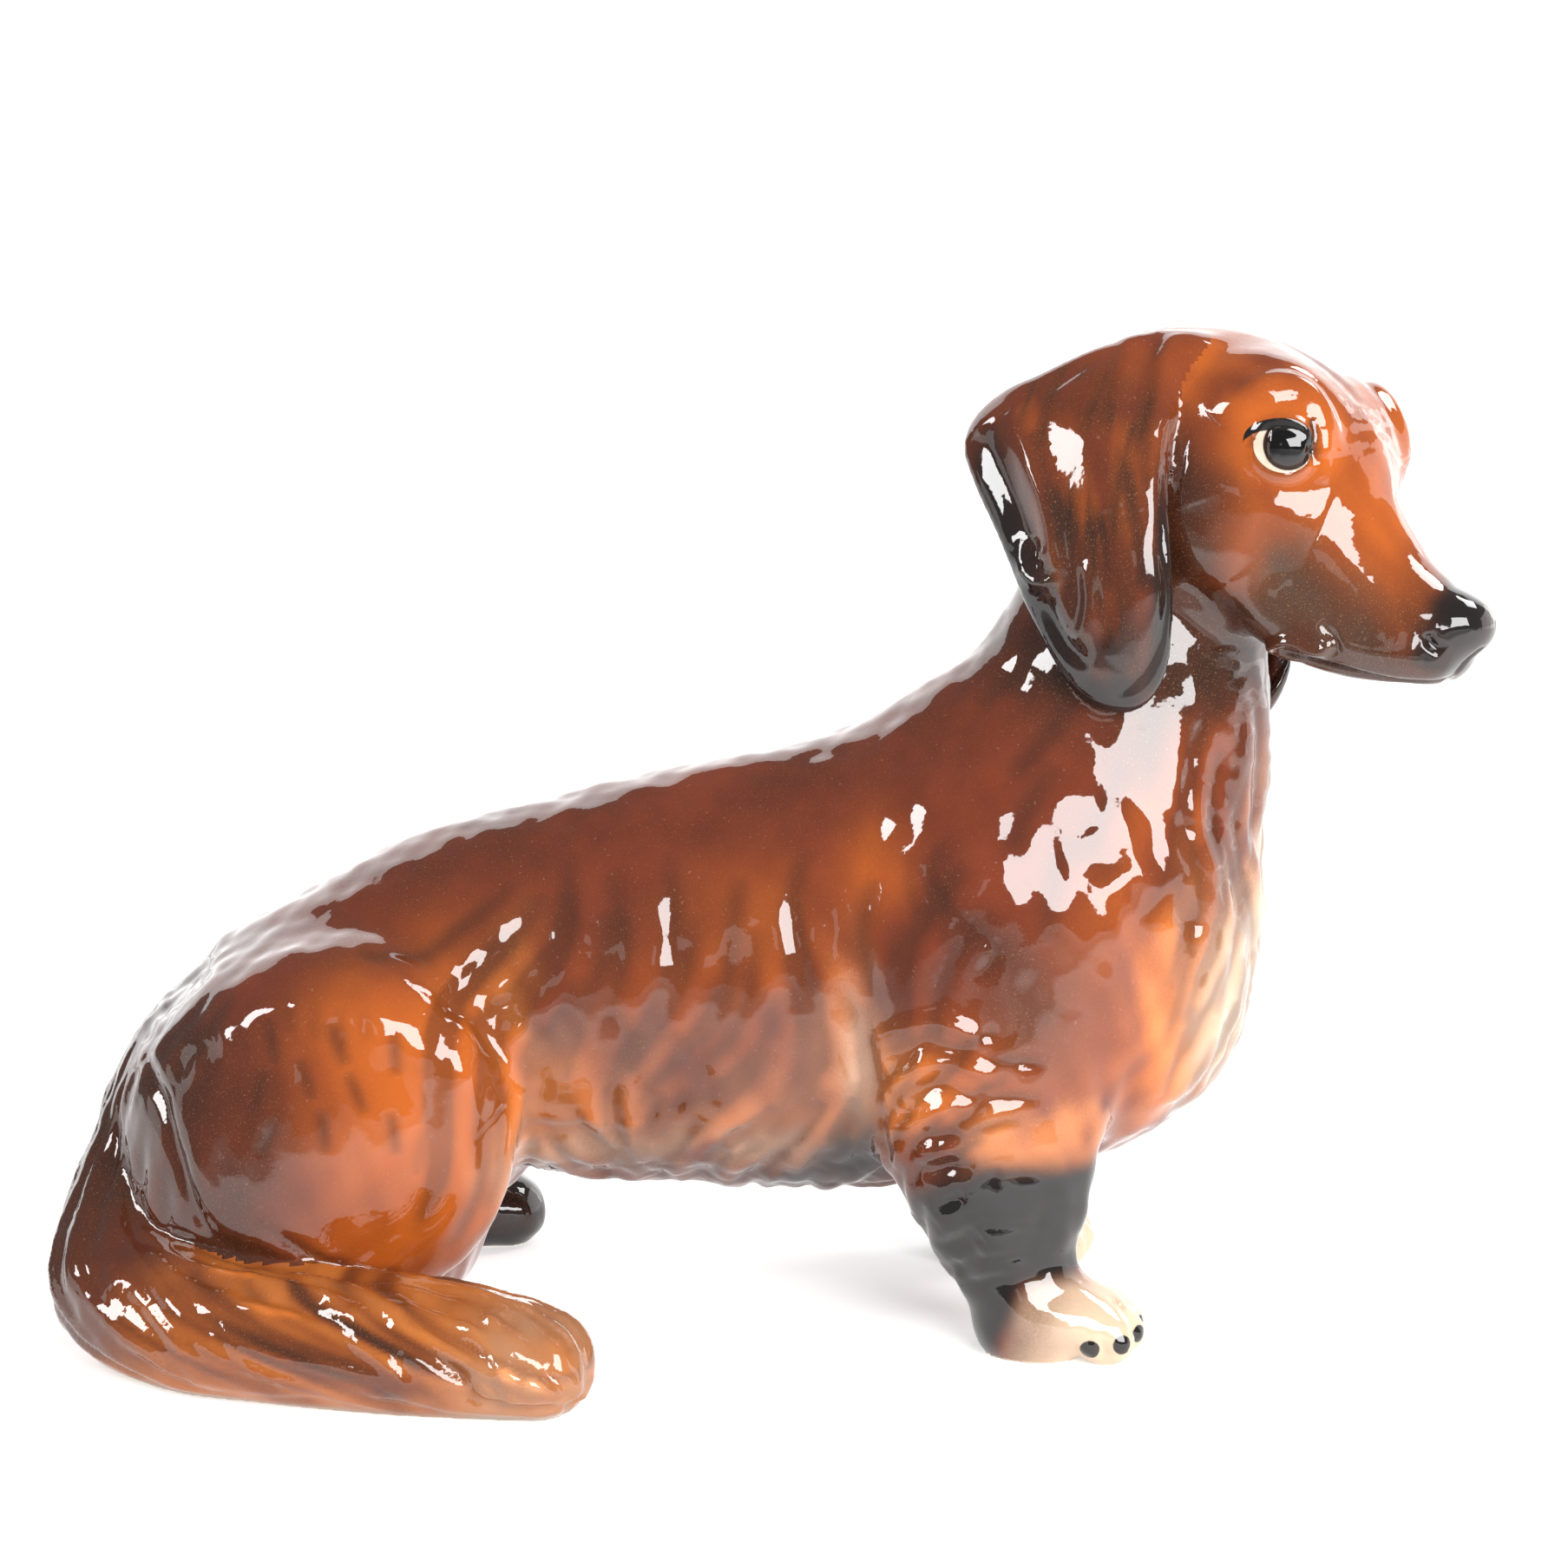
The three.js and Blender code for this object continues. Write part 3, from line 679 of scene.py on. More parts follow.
# Strokes made one by one, on the right side; the left side mirrors them.
STROKES = [  # line, width, height
    # shoulder
    ([[43, -27, 106], [50, -29, 99], [57, -30, 92], [65, -30, 82]], 6.5, 1.2),
    ([[51, -29, 93], [54, -30, 88], [57, -31, 84]], 3.6, -0.8),
    # feathering at the elbow
    ([[15, -33, 57], [20, -35, 60], [26, -37, 61.5], [31, -38, 60], [35, -38, 57]], 1.3, 1.2),
    ([[17, -33, 54.5], [24, -36, 57.5], [31, -38, 56.5]], 1.2, -0.9),
    ([[18, -33, 50], [24, -36, 53.5], [30, -38, 54.5], [37, -39, 51]], 1.3, 1.1),
    ([[18, -32.5, 47], [25, -36.5, 50], [32, -38, 49.5]], 1.2, -0.9),
    ([[18, -32, 41], [24, -36, 44], [29, -38, 47], [32, -38, 46]], 1.3, 1.1),
    ([[20, -32, 39], [27, -37, 41.5], [31, -38, 42]], 1.1, -0.9),
    ([[23, -35.5, 36.5], [27, -37.5, 38.6], [32, -38.5, 38.5]], 1.5, 0.9),
    ([[24, -35.5, 34], [28, -37.5, 35.6], [33, -38.5, 36]], 1.9, -1.5),
    # foreleg
    ([[26, -36, 28.2], [31.5, -37.7, 30.4]], 1.3, -1.0),
    ([[30, -37, 26.8], [33, -37.5, 28]], 0.9, -0.6),
    ([[26.5, -34, 18.8], [30.6, -35.8, 20.8], [34.5, -37.1, 23.4]], 2.2, -1.7),
    ([[29.5, -32, 14.6], [32, -35, 17.6], [34, -36.5, 20.6]], 1.5, -1.1),
    ([[30, -31, 12], [36, -36, 14], [41, -37, 15.4], [47, -36, 17.5], [52, -30, 18.5]], 2.2, -0.9),
    ([[42.4, -37, 17.5], [44.5, -37, 23], [46, -36.6, 27], [48.5, -35.7, 30]], 3.4, -1.1),
    ([[44.6, -37, 19.5], [45.8, -36.8, 24], [47, -36.2, 27.5]], 1.1, 0.35),
    ([[36, -38.9, 36.5], [36.9, -38.7, 32]], 0.9, -0.6),
    # toes
    ([[55.4, -38, -1], [55.4, -38.3, 3.5], [53, -35, 9.8]], 1.0, -1.0),
    ([[60.8, -35, -1], [60.8, -35.4, 4], [57, -31.5, 10.6]], 1.0, -1.0),
    ([[63.6, -29.6, -1], [63.8, -29.6, 4.5], [58.6, -27.4, 11]], 1.0, -1.0),
    ([[62, -24, -1], [62, -24, 4], [57, -23, 10.5]], 1.0, -1.0),
    ([[51.4, -38.4, 3], [53, -38.4, 3.4], [54.6, -38.4, 3.6]], 1.5, 0.8),
    ([[57.2, -37.8, 3.6], [58.4, -37.4, 4], [59.6, -37, 4.2]], 1.5, 0.8),
    ([[61.4, -34, 4.2], [62.2, -33, 4.3], [62.8, -32, 4.3]], 1.5, 0.8),
    # behind the elbow
    ([[14, -33, 64], [14.5, -33, 55], [16.5, -31, 44], [19, -29, 34]], 1.5, -0.9),
    ([[10.5, -33, 62], [11.5, -32, 52], [13.5, -30, 43]], 1.8, 0.9),
    # shoulder blade
    ([[27, -32, 93], [24.5, -33, 87], [28, -35, 81], [33, -37, 78]], 1.6, -0.5),
    ([[21, -32, 90], [21, -33, 84], [25, -35, 77]], 1.6, -0.35),
    ([[33, -37, 78], [36, -38, 74], [33, -38, 69]], 1.4, -0.5),
    # thigh and rump
    ([[-74, -30, 74], [-67, -33.5, 71.5], [-60, -35, 67], [-53, -33.5, 60.5],
      [-48, -31, 53]], 1.5, -0.8),
    ([[-69, -35, 69], [-62, -37, 65], [-55, -36, 58.5], [-50, -34, 51]], 2.0, 0.7),
    ([[-95, -34, 56], [-86, -38.5, 63], [-75, -41, 64.5], [-65, -41, 61], [-56, -39, 54],
      [-50, -35, 44]], 5.5, 2.0),
    ([[-85, -38, 66], [-84, -40, 60]], 1.3, -0.3), ([[-80, -39, 67], [-80, -41, 59]], 1.3, -0.3),
    ([[-76, -40, 65], [-75, -42, 58]], 1.2, -0.3), ([[-72, -40, 64], [-71, -42, 59]], 1.1, -0.25),
    ([[-88, -41, 55], [-85, -43, 46]], 1.5, -0.25), ([[-62, -42, 44], [-63, -43, 36]], 1.3, -0.3),
    ([[-57, -40, 44], [-60, -41, 34], [-63, -41, 27]], 1.6, -0.3),
    ([[-114, -20, 53], [-108, -32, 47], [-105, -37, 38], [-101, -40, 28],
      [-95, -42, 22]], 1.7, -1.1),
    ([[-110, -22, 56], [-104, -34, 48], [-101, -38.5, 38], [-97, -41, 29]], 2.2, 0.5),
    # flank
    ([[-48, -29, 64], [-43, -30, 58], [-45, -30, 52], [-41, -29, 47]], 1.8, -0.6),
    ([[-39, -30, 62], [-36, -31, 55], [-39, -30, 49]], 1.7, -0.6),
    ([[-30, -30, 62], [-27, -31, 55], [-31, -30, 49], [-29, -28, 44]], 1.9, -0.6),
    ([[-20, -30, 58], [-17, -31, 52], [-20, -30, 46]], 1.7, -0.45),
    # fringe under the belly
    ([[-46, -26, 44], [-38, -26, 41], [-28, -26, 39], [-16, -27, 41], [-6, -28, 39],
      [6, -28, 42]], 1.7, 0.9),
    ([[-44, -25, 40], [-36, -25, 37.5], [-26, -26, 36], [-14, -26, 37], [-2, -27, 36],
      [8, -27, 38]], 1.4, -0.8),
    ([[-40, -21, 33], [-30, -20, 30], [-20, -20, 29], [-8, -21, 30], [4, -22, 31]], 1.8, 1.0),
    ([[-42, -14, 28], [-30, -12, 26], [-20, -12, 24.5], [-6, -12, 25]], 2.4, 1.2),
    # tail
    ([[-54, -62, 17], [-52, -65, 15.5], [-47.5, -69, 11.5], [-43.5, -70.5, 7],
      [-41, -70, 3]], 1.3, 1.1),
    ([[-50, -61, 17.5], [-48.5, -64.5, 15.5], [-43.5, -69.5, 10], [-40, -70, 6.5],
      [-36, -67, 3]], 1.4, 1.2),
    ([[-36.5, -66, 3], [-34.5, -64.5, 7], [-35, -62.5, 12]], 1.4, 0.8),
    ([[-52, -69, 12], [-46.5, -70.5, 7], [-43.5, -69.5, 3]], 1.1, 0.9),
    ([[-78, -58, 18.5], [-74, -61, 17.5], [-68, -65.5, 13.5], [-65, -67, 9]], 1.3, 0.9),
    ([[-72, -65, 13.5], [-69, -66, 12], [-65, -67.5, 9], [-62, -68, 5]], 1.2, 0.7),
    ([[-97, -58, 13], [-93, -61, 10.5], [-86, -62.5, 5]], 1.5, 0.9),
    ([[-63, -67, 12], [-61.5, -68, 10], [-58, -68.5, 5]], 1.2, 0.8),
    ([[-66, -63, 16.5], [-62.5, -66, 14], [-58, -68.5, 11]], 1.2, 0.8),
    ([[-70, -61, 17.5], [-67, -63.5, 16], [-61, -66.5, 13.5], [-55.5, -69, 10],
      [-51, -69.5, 4.5]], 1.2, -1.2),
    ([[-64, -61, 18], [-61.5, -63, 17], [-54, -66.5, 14.5], [-49.5, -69.5, 11],
      [-47, -70, 5]], 1.2, -1.2),
    ([[-62, -57, 19.5], [-59, -59.5, 19], [-51.5, -62.5, 17], [-45.5, -68, 12.5],
      [-43, -70, 8]], 1.1, -1.0),
    ([[-80, -59, 18], [-76, -61.5, 16.5], [-70, -65, 14], [-62.5, -68, 8]], 1.3, -1.1),
    ([[-86, -56, 19], [-82, -58.5, 18], [-75, -64, 14], [-67, -67, 6]], 1.3, -1.0),
    ([[-56, -69.5, 11], [-54, -69.5, 8.5], [-51.5, -68, 2.5]], 1.6, -1.1),
    ([[-114, -46, 17], [-111, -51, 14.5], [-106, -56, 10.5], [-100, -57.5, 4]], 1.8, -1.0),
    ([[-89, -52.5, 20], [-79.5, -57, 19], [-73, -60.5, 18]], 1.2, -0.8),
    ([[-47, -60, 17.5], [-45.5, -61.5, 16.5], [-40, -67, 12], [-38, -69, 7]], 1.1, -0.9),
    ([[-101, -56, 14], [-97, -59, 13], [-91, -62, 7.5], [-85, -62, 4]], 1.2, -0.8),
    ([[-100, -40, 20], [-88, -45, 21], [-74, -50, 20.5], [-62, -53, 19.5]], 1.6, -0.7),
]


def shaded(strokes, depth):
    """Tools from strokes: a groove as deep as 1 / depth or more darkens the glaze fully."""
    return [(spline(line, 6 * len(line)), width, height,
             min(1.0, -depth * height) if height < 0 else 0) for line, width, height in strokes]


def by_hand(points, who):
    """Heights and darkening left by the strokes."""
    x = points[:, 0] + LEFT_LEG_SETBACK * ((points[:, 1] > 0) & ((who == LEG_L) | (who == LEG_R)))
    mirrored = np.stack([x, -np.abs(points[:, 1]), points[:, 2]], 1)
    return tooled(mirrored, shaded(STROKES, 1.6))


# Folds of the ears [x, z] in the head's frame, width, height.
EAR_STROKES = [
    ([[5, 5], [8, 0], [12, -6.6], [16.4, -14.8], [19.6, -21.3], [21.2, -28.6], [20.6, -35.7],
      [18, -41]], 1.1, -1.1),
    ([[-5, 18], [-2.5, 13.5], [1.5, 7.5], [4.5, 2]], 1.3, 0.8),
    ([[-8, 17.5], [-5, 12.5], [-1, 6.5], [2, 1]], 1.5, -0.8),
    ([[-12, 14.5], [-8.5, 10.5], [-4.5, 5], [-2, 0]], 1.8, 0.8),
    ([[-26, -10], [-20, -14], [-14, -18], [-8.9, -22], [-4.5, -25.5]], 3.4, -1.9),
    ([[-22, -5], [-16, -8.5], [-12, -11.2], [-5.8, -15.9], [-1.2, -22], [0.8, -25.6]], 2.4, 1.5),
    ([[-27, -11.6], [-25, -7.1], [-21.2, -2]], 2.0, 0.5),
    ([[-9.5, -23.5], [-6.5, -27.5], [-2.5, -28.8], [1, -26.5], [1.5, -23]], 1.3, 1.0),
    ([[-7, -22.5], [-4.5, -25.8], [-2, -25.8]], 1.2, -1.0),
    ([[-15, 4], [-9, 1], [-5, -2], [2.7, -7.3], [6, -12]], 5.5, 1.2),
    ([[5, -21.4], [8.4, -26.8], [9.8, -31], [9.4, -35.5]], 1.7, 1.0),
    ([[0.4, -30.5], [3, -33.5], [6.5, -35.8], [13.1, -37.5]], 2.2, -1.1),
    ([[-10, -9.5], [-4, -15.5], [0.5, -20.1], [8.6, -29.2]], 2.0, -0.45),
    ([[-2.2, 3.3], [3, -2.5], [7.5, -7.6], [15.6, -16.5]], 2.0, -0.3),
    ([[2, -11], [8, -19], [13, -28], [14, -34]], 1.8, -0.3),
    ([[11, -12], [15, -20], [17, -28], [16, -35]], 3.2, 0.5),
]


def side_on(points):
    """Points in the head's frame, pressed flat against the picture plane of the ears."""
    return to_head(points) * [1, 0, 1]


def in_plane(line):
    return [[x, 0, z] for x, z in line]


def ear_folds(points, who):
    """Heights and darkening of the ears' folds."""
    folds = [(in_plane(line), width, height) for line, width, height in EAR_STROKES]
    height, dark = tooled(side_on(points), shaded(folds, 0.8))
    is_ear = (who == EAR_R) | (who == EAR_L)
    return height * is_ear, dark * is_ear


hand_lift, hand_dark = by_hand(base, owner)
ear_lift, ear_dark = ear_folds(base, owner)
hand_lift, hand_dark = hand_lift + ear_lift, np.maximum(hand_dark, ear_dark)
ground = smooth(0.3, 3.0, Z)
soft = 0.12 * ripple(base, (34, 40, 60), 16, 5) + 0.10 * ripple(base, (13, 15, 30), 16, 8)
soft += 0.16 * ripple(base, (12, 12, 16), 14, 9) * smooth(34, 56, X) * smooth(98, 82, Z)
furry = np.where(on(HEAD), 0.25, np.where(on(EAR_R) | on(EAR_L), 0.4, 1.0)) * ground
paws = leg_share * smooth(14, 9, Z)
HIGHEST_HAIR = 1.5
lift = np.tanh(hair / HIGHEST_HAIR) * HIGHEST_HAIR * (1 - paws)
lift = (lift + soft * furry * (1 - 0.7 * paws) + hand_lift) * ground
crease = np.clip(crease + hand_dark, 0, 1) * (1 - paws)


# ---- Paint --------------------------------------------------------------------------------------

def soft_spots(p, spots):
    """Colour laid in soft spots (x, |y|, z, radii of x, y and z, strength): airbrushed colours, and
    painted shade under the ears.
    """
    clear = np.ones(len(p))
    q = np.stack([p[:, 0], np.abs(p[:, 1]), p[:, 2]], 1)
    for x, y, z, rx, ry, rz, strength in spots:
        r = (((q - [x, y, z]) / [rx, ry, rz]) ** 2).sum(1)
        clear *= 1 - strength * np.exp(-(r**1.3))
    return 1 - clear


BODY_COLOURS_AND_SHADE = {
    "amber": [
        (-60, 38, 44, 20, 22, 28, 1.0), (-68, 40, 60, 14, 20, 9, 0.5),
        (-70, 42, 22, 16, 14, 9, 0.5), (60, 26, 60, 15, 30, 22, 0.45),
        (68, 0, 92, 13, 34, 22, 0.5), (36, 38, 52, 14, 18, 11, 0.2), (-50, 32, 54, 9, 12, 14, 0.9),
        (-44, 26, 42, 12, 14, 10, 0.6), (-6, 30, 70, 15, 20, 14, 0.4),
        (16, 32, 84, 7, 12, 14, 0.35), (-30, 30, 60, 20, 20, 10, 0.3),
        (24, 36, 48, 12, 14, 12, 0.8), (70, 20, 50, 13, 24, 18, 0.7),
    ],
    "umber": [
        (-116, 0, 42, 19, 60, 44, 0.7), (-96, 40, 38, 14, 20, 32, 0.6),
        # Painted shade: the spots at x 58 to 70, z 110 to 124 darken the neck under the ears.
        (60, 0, 124, 32, 50, 15, 0.95), (58, 22, 110, 9, 14, 10, 0.5),
        (70, 20, 121, 10, 16, 9, 0.6), (-42, 30, 58, 7, 12, 7, 0.5), (-28, 30, 55, 6, 12, 5, 0.45),
        (-50, 30, 70, 7, 12, 10, 0.35), (28, 35, 83, 5, 10, 8, 0.5), (35, 38, 75, 6, 10, 5, 0.5),
        (17, 32, 50, 4, 10, 14, 0.4), (44, 38, 62, 14, 14, 14, 0.35),
        (-20, 30, 76, 30, 22, 9, 0.2), (-80, 30, 70, 22, 22, 12, 0.15),
        (-10, 14, 30, 26, 12, 5, 0.4),
    ],
    "honey": [
        (77, 14, 51, 12, 26, 20, 0.8), (71, 26, 60, 9, 12, 20, 0.65),
        (-45, 26, 46, 8, 14, 20, 0.5), (-20, 26, 40, 34, 26, 5, 0.45),
        (20, 36, 44, 8, 12, 10, 0.4), (82, 0, 78, 7, 16, 18, 0.4), (12, 32, 58, 6, 10, 14, 0.3),
    ],
    "salmon": [
        (-14, 26, 41, 36, 30, 11, 0.6), (8, 30, 52, 8, 12, 12, 0.5), (44, 38, 46, 8, 14, 6, 0.15),
        (76, 14, 56, 11, 26, 24, 0.55), (12, 32, 62, 4, 8, 12, 0.5),
    ],
    "cream": [
        (81, 6, 55, 10, 26, 24, 0.95), (77, 22, 60, 7, 10, 18, 0.5), (85, 0, 76, 7, 16, 20, 0.8),
        (-18, 24, 35, 32, 22, 4, 0.35), (12.5, 32, 52, 3, 8, 12, 0.4),
        (-46, 18, 32, 10, 20, 5, 0.25),
    ],
    "black": [
        (13, 24, 32, 9, 18, 8, 1.0), (4, 14, 27, 10, 12, 4, 0.7),
    ],
}


def streak(points, line, width, strength):
    """A brush stroke of the width along the line."""
    gap, t = along(points, spline(in_plane(line), 5 * len(line)))
    return strength * np.exp(-((gap / width) ** 3)) * smooth(0, 0.25, t) * smooth(1, 0.75, t)


# Strokes on the ears [x, z] in the head's frame, width, strength.
EAR_BLACK = [
    ([[-31, -2], [-25, -12], [-19, -18], [-12, -24.5], [-6, -31], [1, -38], [8, -44]], 5.0, 0.97),
    ([[-6, -36], [1, -39], [8, -42], [15, -42], [20, -39], [24, -30]], 5.5, 0.97),
    ([[20, -42], [22.5, -36], [21.8, -28], [18, -19], [14, -10]], 2.4, 0.9),
    ([[5, 4], [12, -6.6], [16.6, -14.8], [20, -21.3], [21.8, -28.6], [21.5, -37]], 1.3, 0.9),
    ([[-12, -30], [-4, -33], [4, -36], [10, -37], [16, -34], [22, -26]], 4.5, 0.75),
]
EAR_AMBER = [
    ([[-14, 0], [-6, -7], [2, -14], [7, -21]], 2.6, 0.35),
    ([[-3, 4], [6, -7], [12, -17]], 2.0, 0.4), ([[-11, -15], [-2, -23], [4, -31]], 1.6, 0.45),
    ([[3, 6], [9, -3], [14, -11]], 1.8, 0.3), ([[10, -22], [13, -28], [13, -33]], 1.6, 0.3),
    ([[-21, -2], [-14, -6]], 2.0, 0.3),
]
EAR_UMBER = [
    ([[-10, -9], [-3, -16], [3, -24], [6, -32]], 1.7, 0.85),
    ([[-2, 2], [7, -8], [14, -17], [17, -26]], 1.6, 0.8),
    ([[2, -11], [8, -19], [12, -28]], 1.2, 0.7), ([[-17, -5], [-9, -11], [-3, -18]], 1.3, 0.6),
    ([[-27, -9], [-22, -12], [-16, -17]], 3.0, 0.7), ([[5, 0], [11, -9], [15, -16]], 1.0, 0.6),
]


def paint_leg(coat, p):
    """Tan above a black sock, and a cream paw that is darker on top behind its toes."""
    x, y, z = p.T
    x = x + np.where(y > 0, LEFT_LEG_SETBACK, 0)
    above = z - 39 + 0.55 * np.maximum(34 - x, 0)  # height above the slanting top of the sock
    toe = smooth(38, 44, x + 0.3 * (12 - z)) * smooth(17, 12.5, z)
    dark_patch = smooth(55, 42, x + 0.5 * (8 - z)) * toe
    tan = smooth(-9, -2, above) * smooth(10, 3, above) * smooth(28, 40, x)
    leg = {
        "amber": 0.5 * smooth(2, 10, above),
        "umber": np.maximum(0.25 * smooth(18, 6, above), 0.6 * dark_patch),
        "honey": 0.5 * tan,
        "salmon": 0.35 * tan,
        "cream": toe * (1 - 0.5 * dark_patch),
        "black": smooth(1, -6, above) * (1 - toe),
    }
    share = smooth(14, 5, above)
    for colour, strength in leg.items():
        coat[colour] += share * (strength - coat[colour])


def paint_tail(coat, p):
    """Dark at the root; orange locks with dark streaks between them towards the tip."""
    z = p[:, 2]
    share, across, over = tail.locate(p)[:3]
    locks = ripple(np.stack([70 * share, across, over + 45 * share], 1), (90, 30, 4.5), 14, 41)
    between = (-0.6 * locks - 0.1) * smooth(5, 12, z)
    pale = smooth(0.4, 0.85, share) * np.clip(0.42 + 0.5 * locks, 0, 0.9)
    coat.update(
        amber=0.12 + smooth(0.38, 0.68, share) * (0.85 + 0.25 * locks),
        umber=np.maximum(0.75 * smooth(0.56, 0.25, share), between),
        honey=pale + 0.6 * smooth(0.82, 1.0, share) + 0.4 * smooth(7, 2, z),
        salmon=0 * z,
        cream=0.5 * smooth(2, 0.5, z) + 0.3 * smooth(0.86, 1.0, share),
        black=0 * z)


def paint_foot(coat, p):
    z = p[:, 2]
    coat.update({colour: 0 * z for colour in coat})
    coat.update(umber=0 * z + 1, black=0.45 + 0.5 * smooth(6, 2, z))


def paint_head(coat, p):
    """Orange round the eyes, a brown muzzle, painted shade low on the cheeks beside the ears, a
    black nose; the neck joins the body.
    """
    x, y, z = to_head(p).T
    eye_glow = np.exp(-((((x - 23) / 13) ** 2 + ((z - 9.5) / 11) ** 2) ** 1.3))
    eye_glow = eye_glow * smooth(4, 10, np.abs(y))
    bridge = smooth(20, 30, x) * smooth(-6, 4, z + 0.4 * (x - 24)) * smooth(56, 42, x)
    crown = smooth(-8, 12, z) * smooth(18, 4, x)
    middle = smooth(8, 24, x) * smooth(-24, -8, z)
    amber = np.maximum.reduce([0.95 * eye_glow, 0.6 * bridge, 0.4 * crown, 0.5 * middle])
    low = smooth(7, -8, z + 0.3 * (x - 24))
    # Painted shade: umber low on the cheek, beside and under the ear.
    cheek_shade, muzzle = low * smooth(30, 14, x), low * smooth(20, 34, x)
    chin, tip = smooth(-15, -20, z), smooth(42, 57, x)
    nape = smooth(6, -4, x) * smooth(20, 8, z)
    umber = np.maximum.reduce([0.9 * cheek_shade, 0.88 * muzzle, 0.85 * chin, 0.7 * tip, 0.35 * nape])
    neck = smooth(-18, -27, z) * smooth(40, 28, x)
    coat["amber"] = amber + (coat["amber"] - amber) * neck
    coat["umber"] = umber + (coat["umber"] - umber) * neck
    for colour in ("honey", "salmon", "cream"):
        coat[colour] = coat[colour] * neck
    coat["cream"] += 0.03 * muzzle * (1 - tip)
    leather = smooth(54, 58.5, x + 0.35 * np.maximum(z + 9, 0))
    coat["black"] = 0.9 * leather * smooth(-17.5, -14.5, z)


def paint_ear(coat, p):
    """Brushed strokes that fade out where the ear joins the crown."""
    flat = side_on(p)
    z = flat[:, 2]
    black, amber, umber = [np.maximum.reduce([streak(flat, *stroke) for stroke in strokes])
                           for strokes in (EAR_BLACK, EAR_AMBER, EAR_UMBER)]
    fine = ripple(flat @ [[1, 0, -0.45], [0, 1, 0], [0.45, 0, 1]], (4.0, FAR, 40), 12, 31)
    hang = smooth(14, 2, z)
    coat.update({colour: 0 * z for colour in coat})
    coat.update(
        amber=0.1 + 0.85 * amber + 0.1 * fine * hang,
        umber=np.maximum(0.36 + 0.16 * fine + 0.4 * smooth(-8, -30, z), umber) * hang,
        black=black)


PAINTERS = {HEAD: paint_head, EAR_R: paint_ear, EAR_L: paint_ear, LEG_R: paint_leg,
            LEG_L: paint_leg, TAIL: paint_tail, FOOT: paint_foot}
TAIL_CREASES = 1.6  # how much more strongly the tail's grooves are darkened


def paint(p, n, piece, groove):
    """How much of each colour lies at each point of a piece: airbrushed colours, and painted shade
    by the ears and in the eyes' inner folds.
    """
    coat = {colour: soft_spots(p, spots) for colour, spots in BODY_COLOURS_AND_SHADE.items()}
    on_back = 0.32 * smooth(0.4, 1.0, n[:, 2]) * smooth(60, 20, p[:, 0])
    coat["umber"] = np.maximum(coat["umber"], on_back)
    if piece in PAINTERS:
        PAINTERS[piece](coat, p)
    cloud = 0.10 * ripple(p, (30, 30, 44), 12, 21) + 0.06 * ripple(p, (14, 14, 22), 12, 22)
    masks = {k: np.clip(v + 5 * cloud * np.clip(v * (1 - v), 0, 1), 0, 1) for k, v in coat.items()}
    masks["crease"] = np.clip(groove * (TAIL_CREASES if piece == TAIL else 1.0), 0, 1)
    masks["bare"] = smooth(0.35, 0.1, p[:, 2])
    return masks


# ---- Meshes -------------------------------------------------------------------------------------

def split_quads(points, faces):
    """Each quad cut in four.

    Returns the points, the quads, each new edge point's two parents and how many quads share it.
    """
    count = len(points)
    edges = np.sort(np.concatenate([faces[:, side] for side in QUAD_SIDES]), 1)
    pairs, back, uses = np.unique(edges, axis=0, return_inverse=True, return_counts=True)
    back = back.reshape(4, -1).T + count
    middle = np.arange(len(faces)) + count + len(pairs)
    fresh = np.vstack([points, points[pairs].mean(1), points[faces].mean(1)])
    out = [np.stack([faces[:, c], back[:, c], middle, back[:, c - 1]], 1) for c in range(4)]
    return fresh, np.concatenate(out), pairs, uses


def closing_fans(faces, points):
    """Triangles that close the cut edges, each run of them from one new point inside."""
    edges = np.concatenate([faces[:, side] for side in QUAD_SIDES])
    key = edges[:, 0] * len(points) + edges[:, 1]
    back = edges[:, 1] * len(points) + edges[:, 0]
    cut = edges[~np.isin(key, back)]
    if not len(cut):
        return points, np.zeros((0, 3), int)
    label = joined(cut, len(points))
    fans, extra = [], []
    for name in np.unique(label[cut[:, 0]]):
        run = cut[label[cut[:, 0]] == name]
        hub = len(points) + len(extra)
        extra.append(points[run[:, 0]].mean(0))
        fans.append(np.stack([run[:, 1], run[:, 0], np.full(len(run), hub)], 1))
    return np.vstack([points, extra]), np.concatenate(fans)


def make_mesh(name, points, fours, threes, shading, masks):
    mesh = bpy.data.meshes.new(name)
    mesh.vertices.add(len(points))
    mesh.vertices.foreach_set("co", (points * MM + ORIGIN).astype(np.float32).ravel())
    loops = np.concatenate([fours.ravel(), threes.ravel()])
    mesh.loops.add(len(loops))
    mesh.loops.foreach_set("vertex_index", loops.astype(np.int32))
    mesh.polygons.add(len(fours) + len(threes))
    starts = np.concatenate([np.arange(len(fours)) * 4,
                             len(fours) * 4 + np.arange(len(threes)) * 3])
    mesh.polygons.foreach_set("loop_start", starts.astype(np.int32))
    mesh.update(calc_edges=True)
    mesh.polygons.foreach_set("use_smooth", np.ones(len(mesh.polygons), bool))
    for key, values in masks.items():
        layer = mesh.attributes.new(key, "FLOAT", "POINT")
        layer.data.foreach_set("value", values.astype(np.float32))
    mesh.normals_split_custom_set_from_vertices(shading.astype(np.float32))
    thing = bpy.data.objects.new(name, mesh)
    bpy.context.scene.collection.objects.link(thing)
    return thing


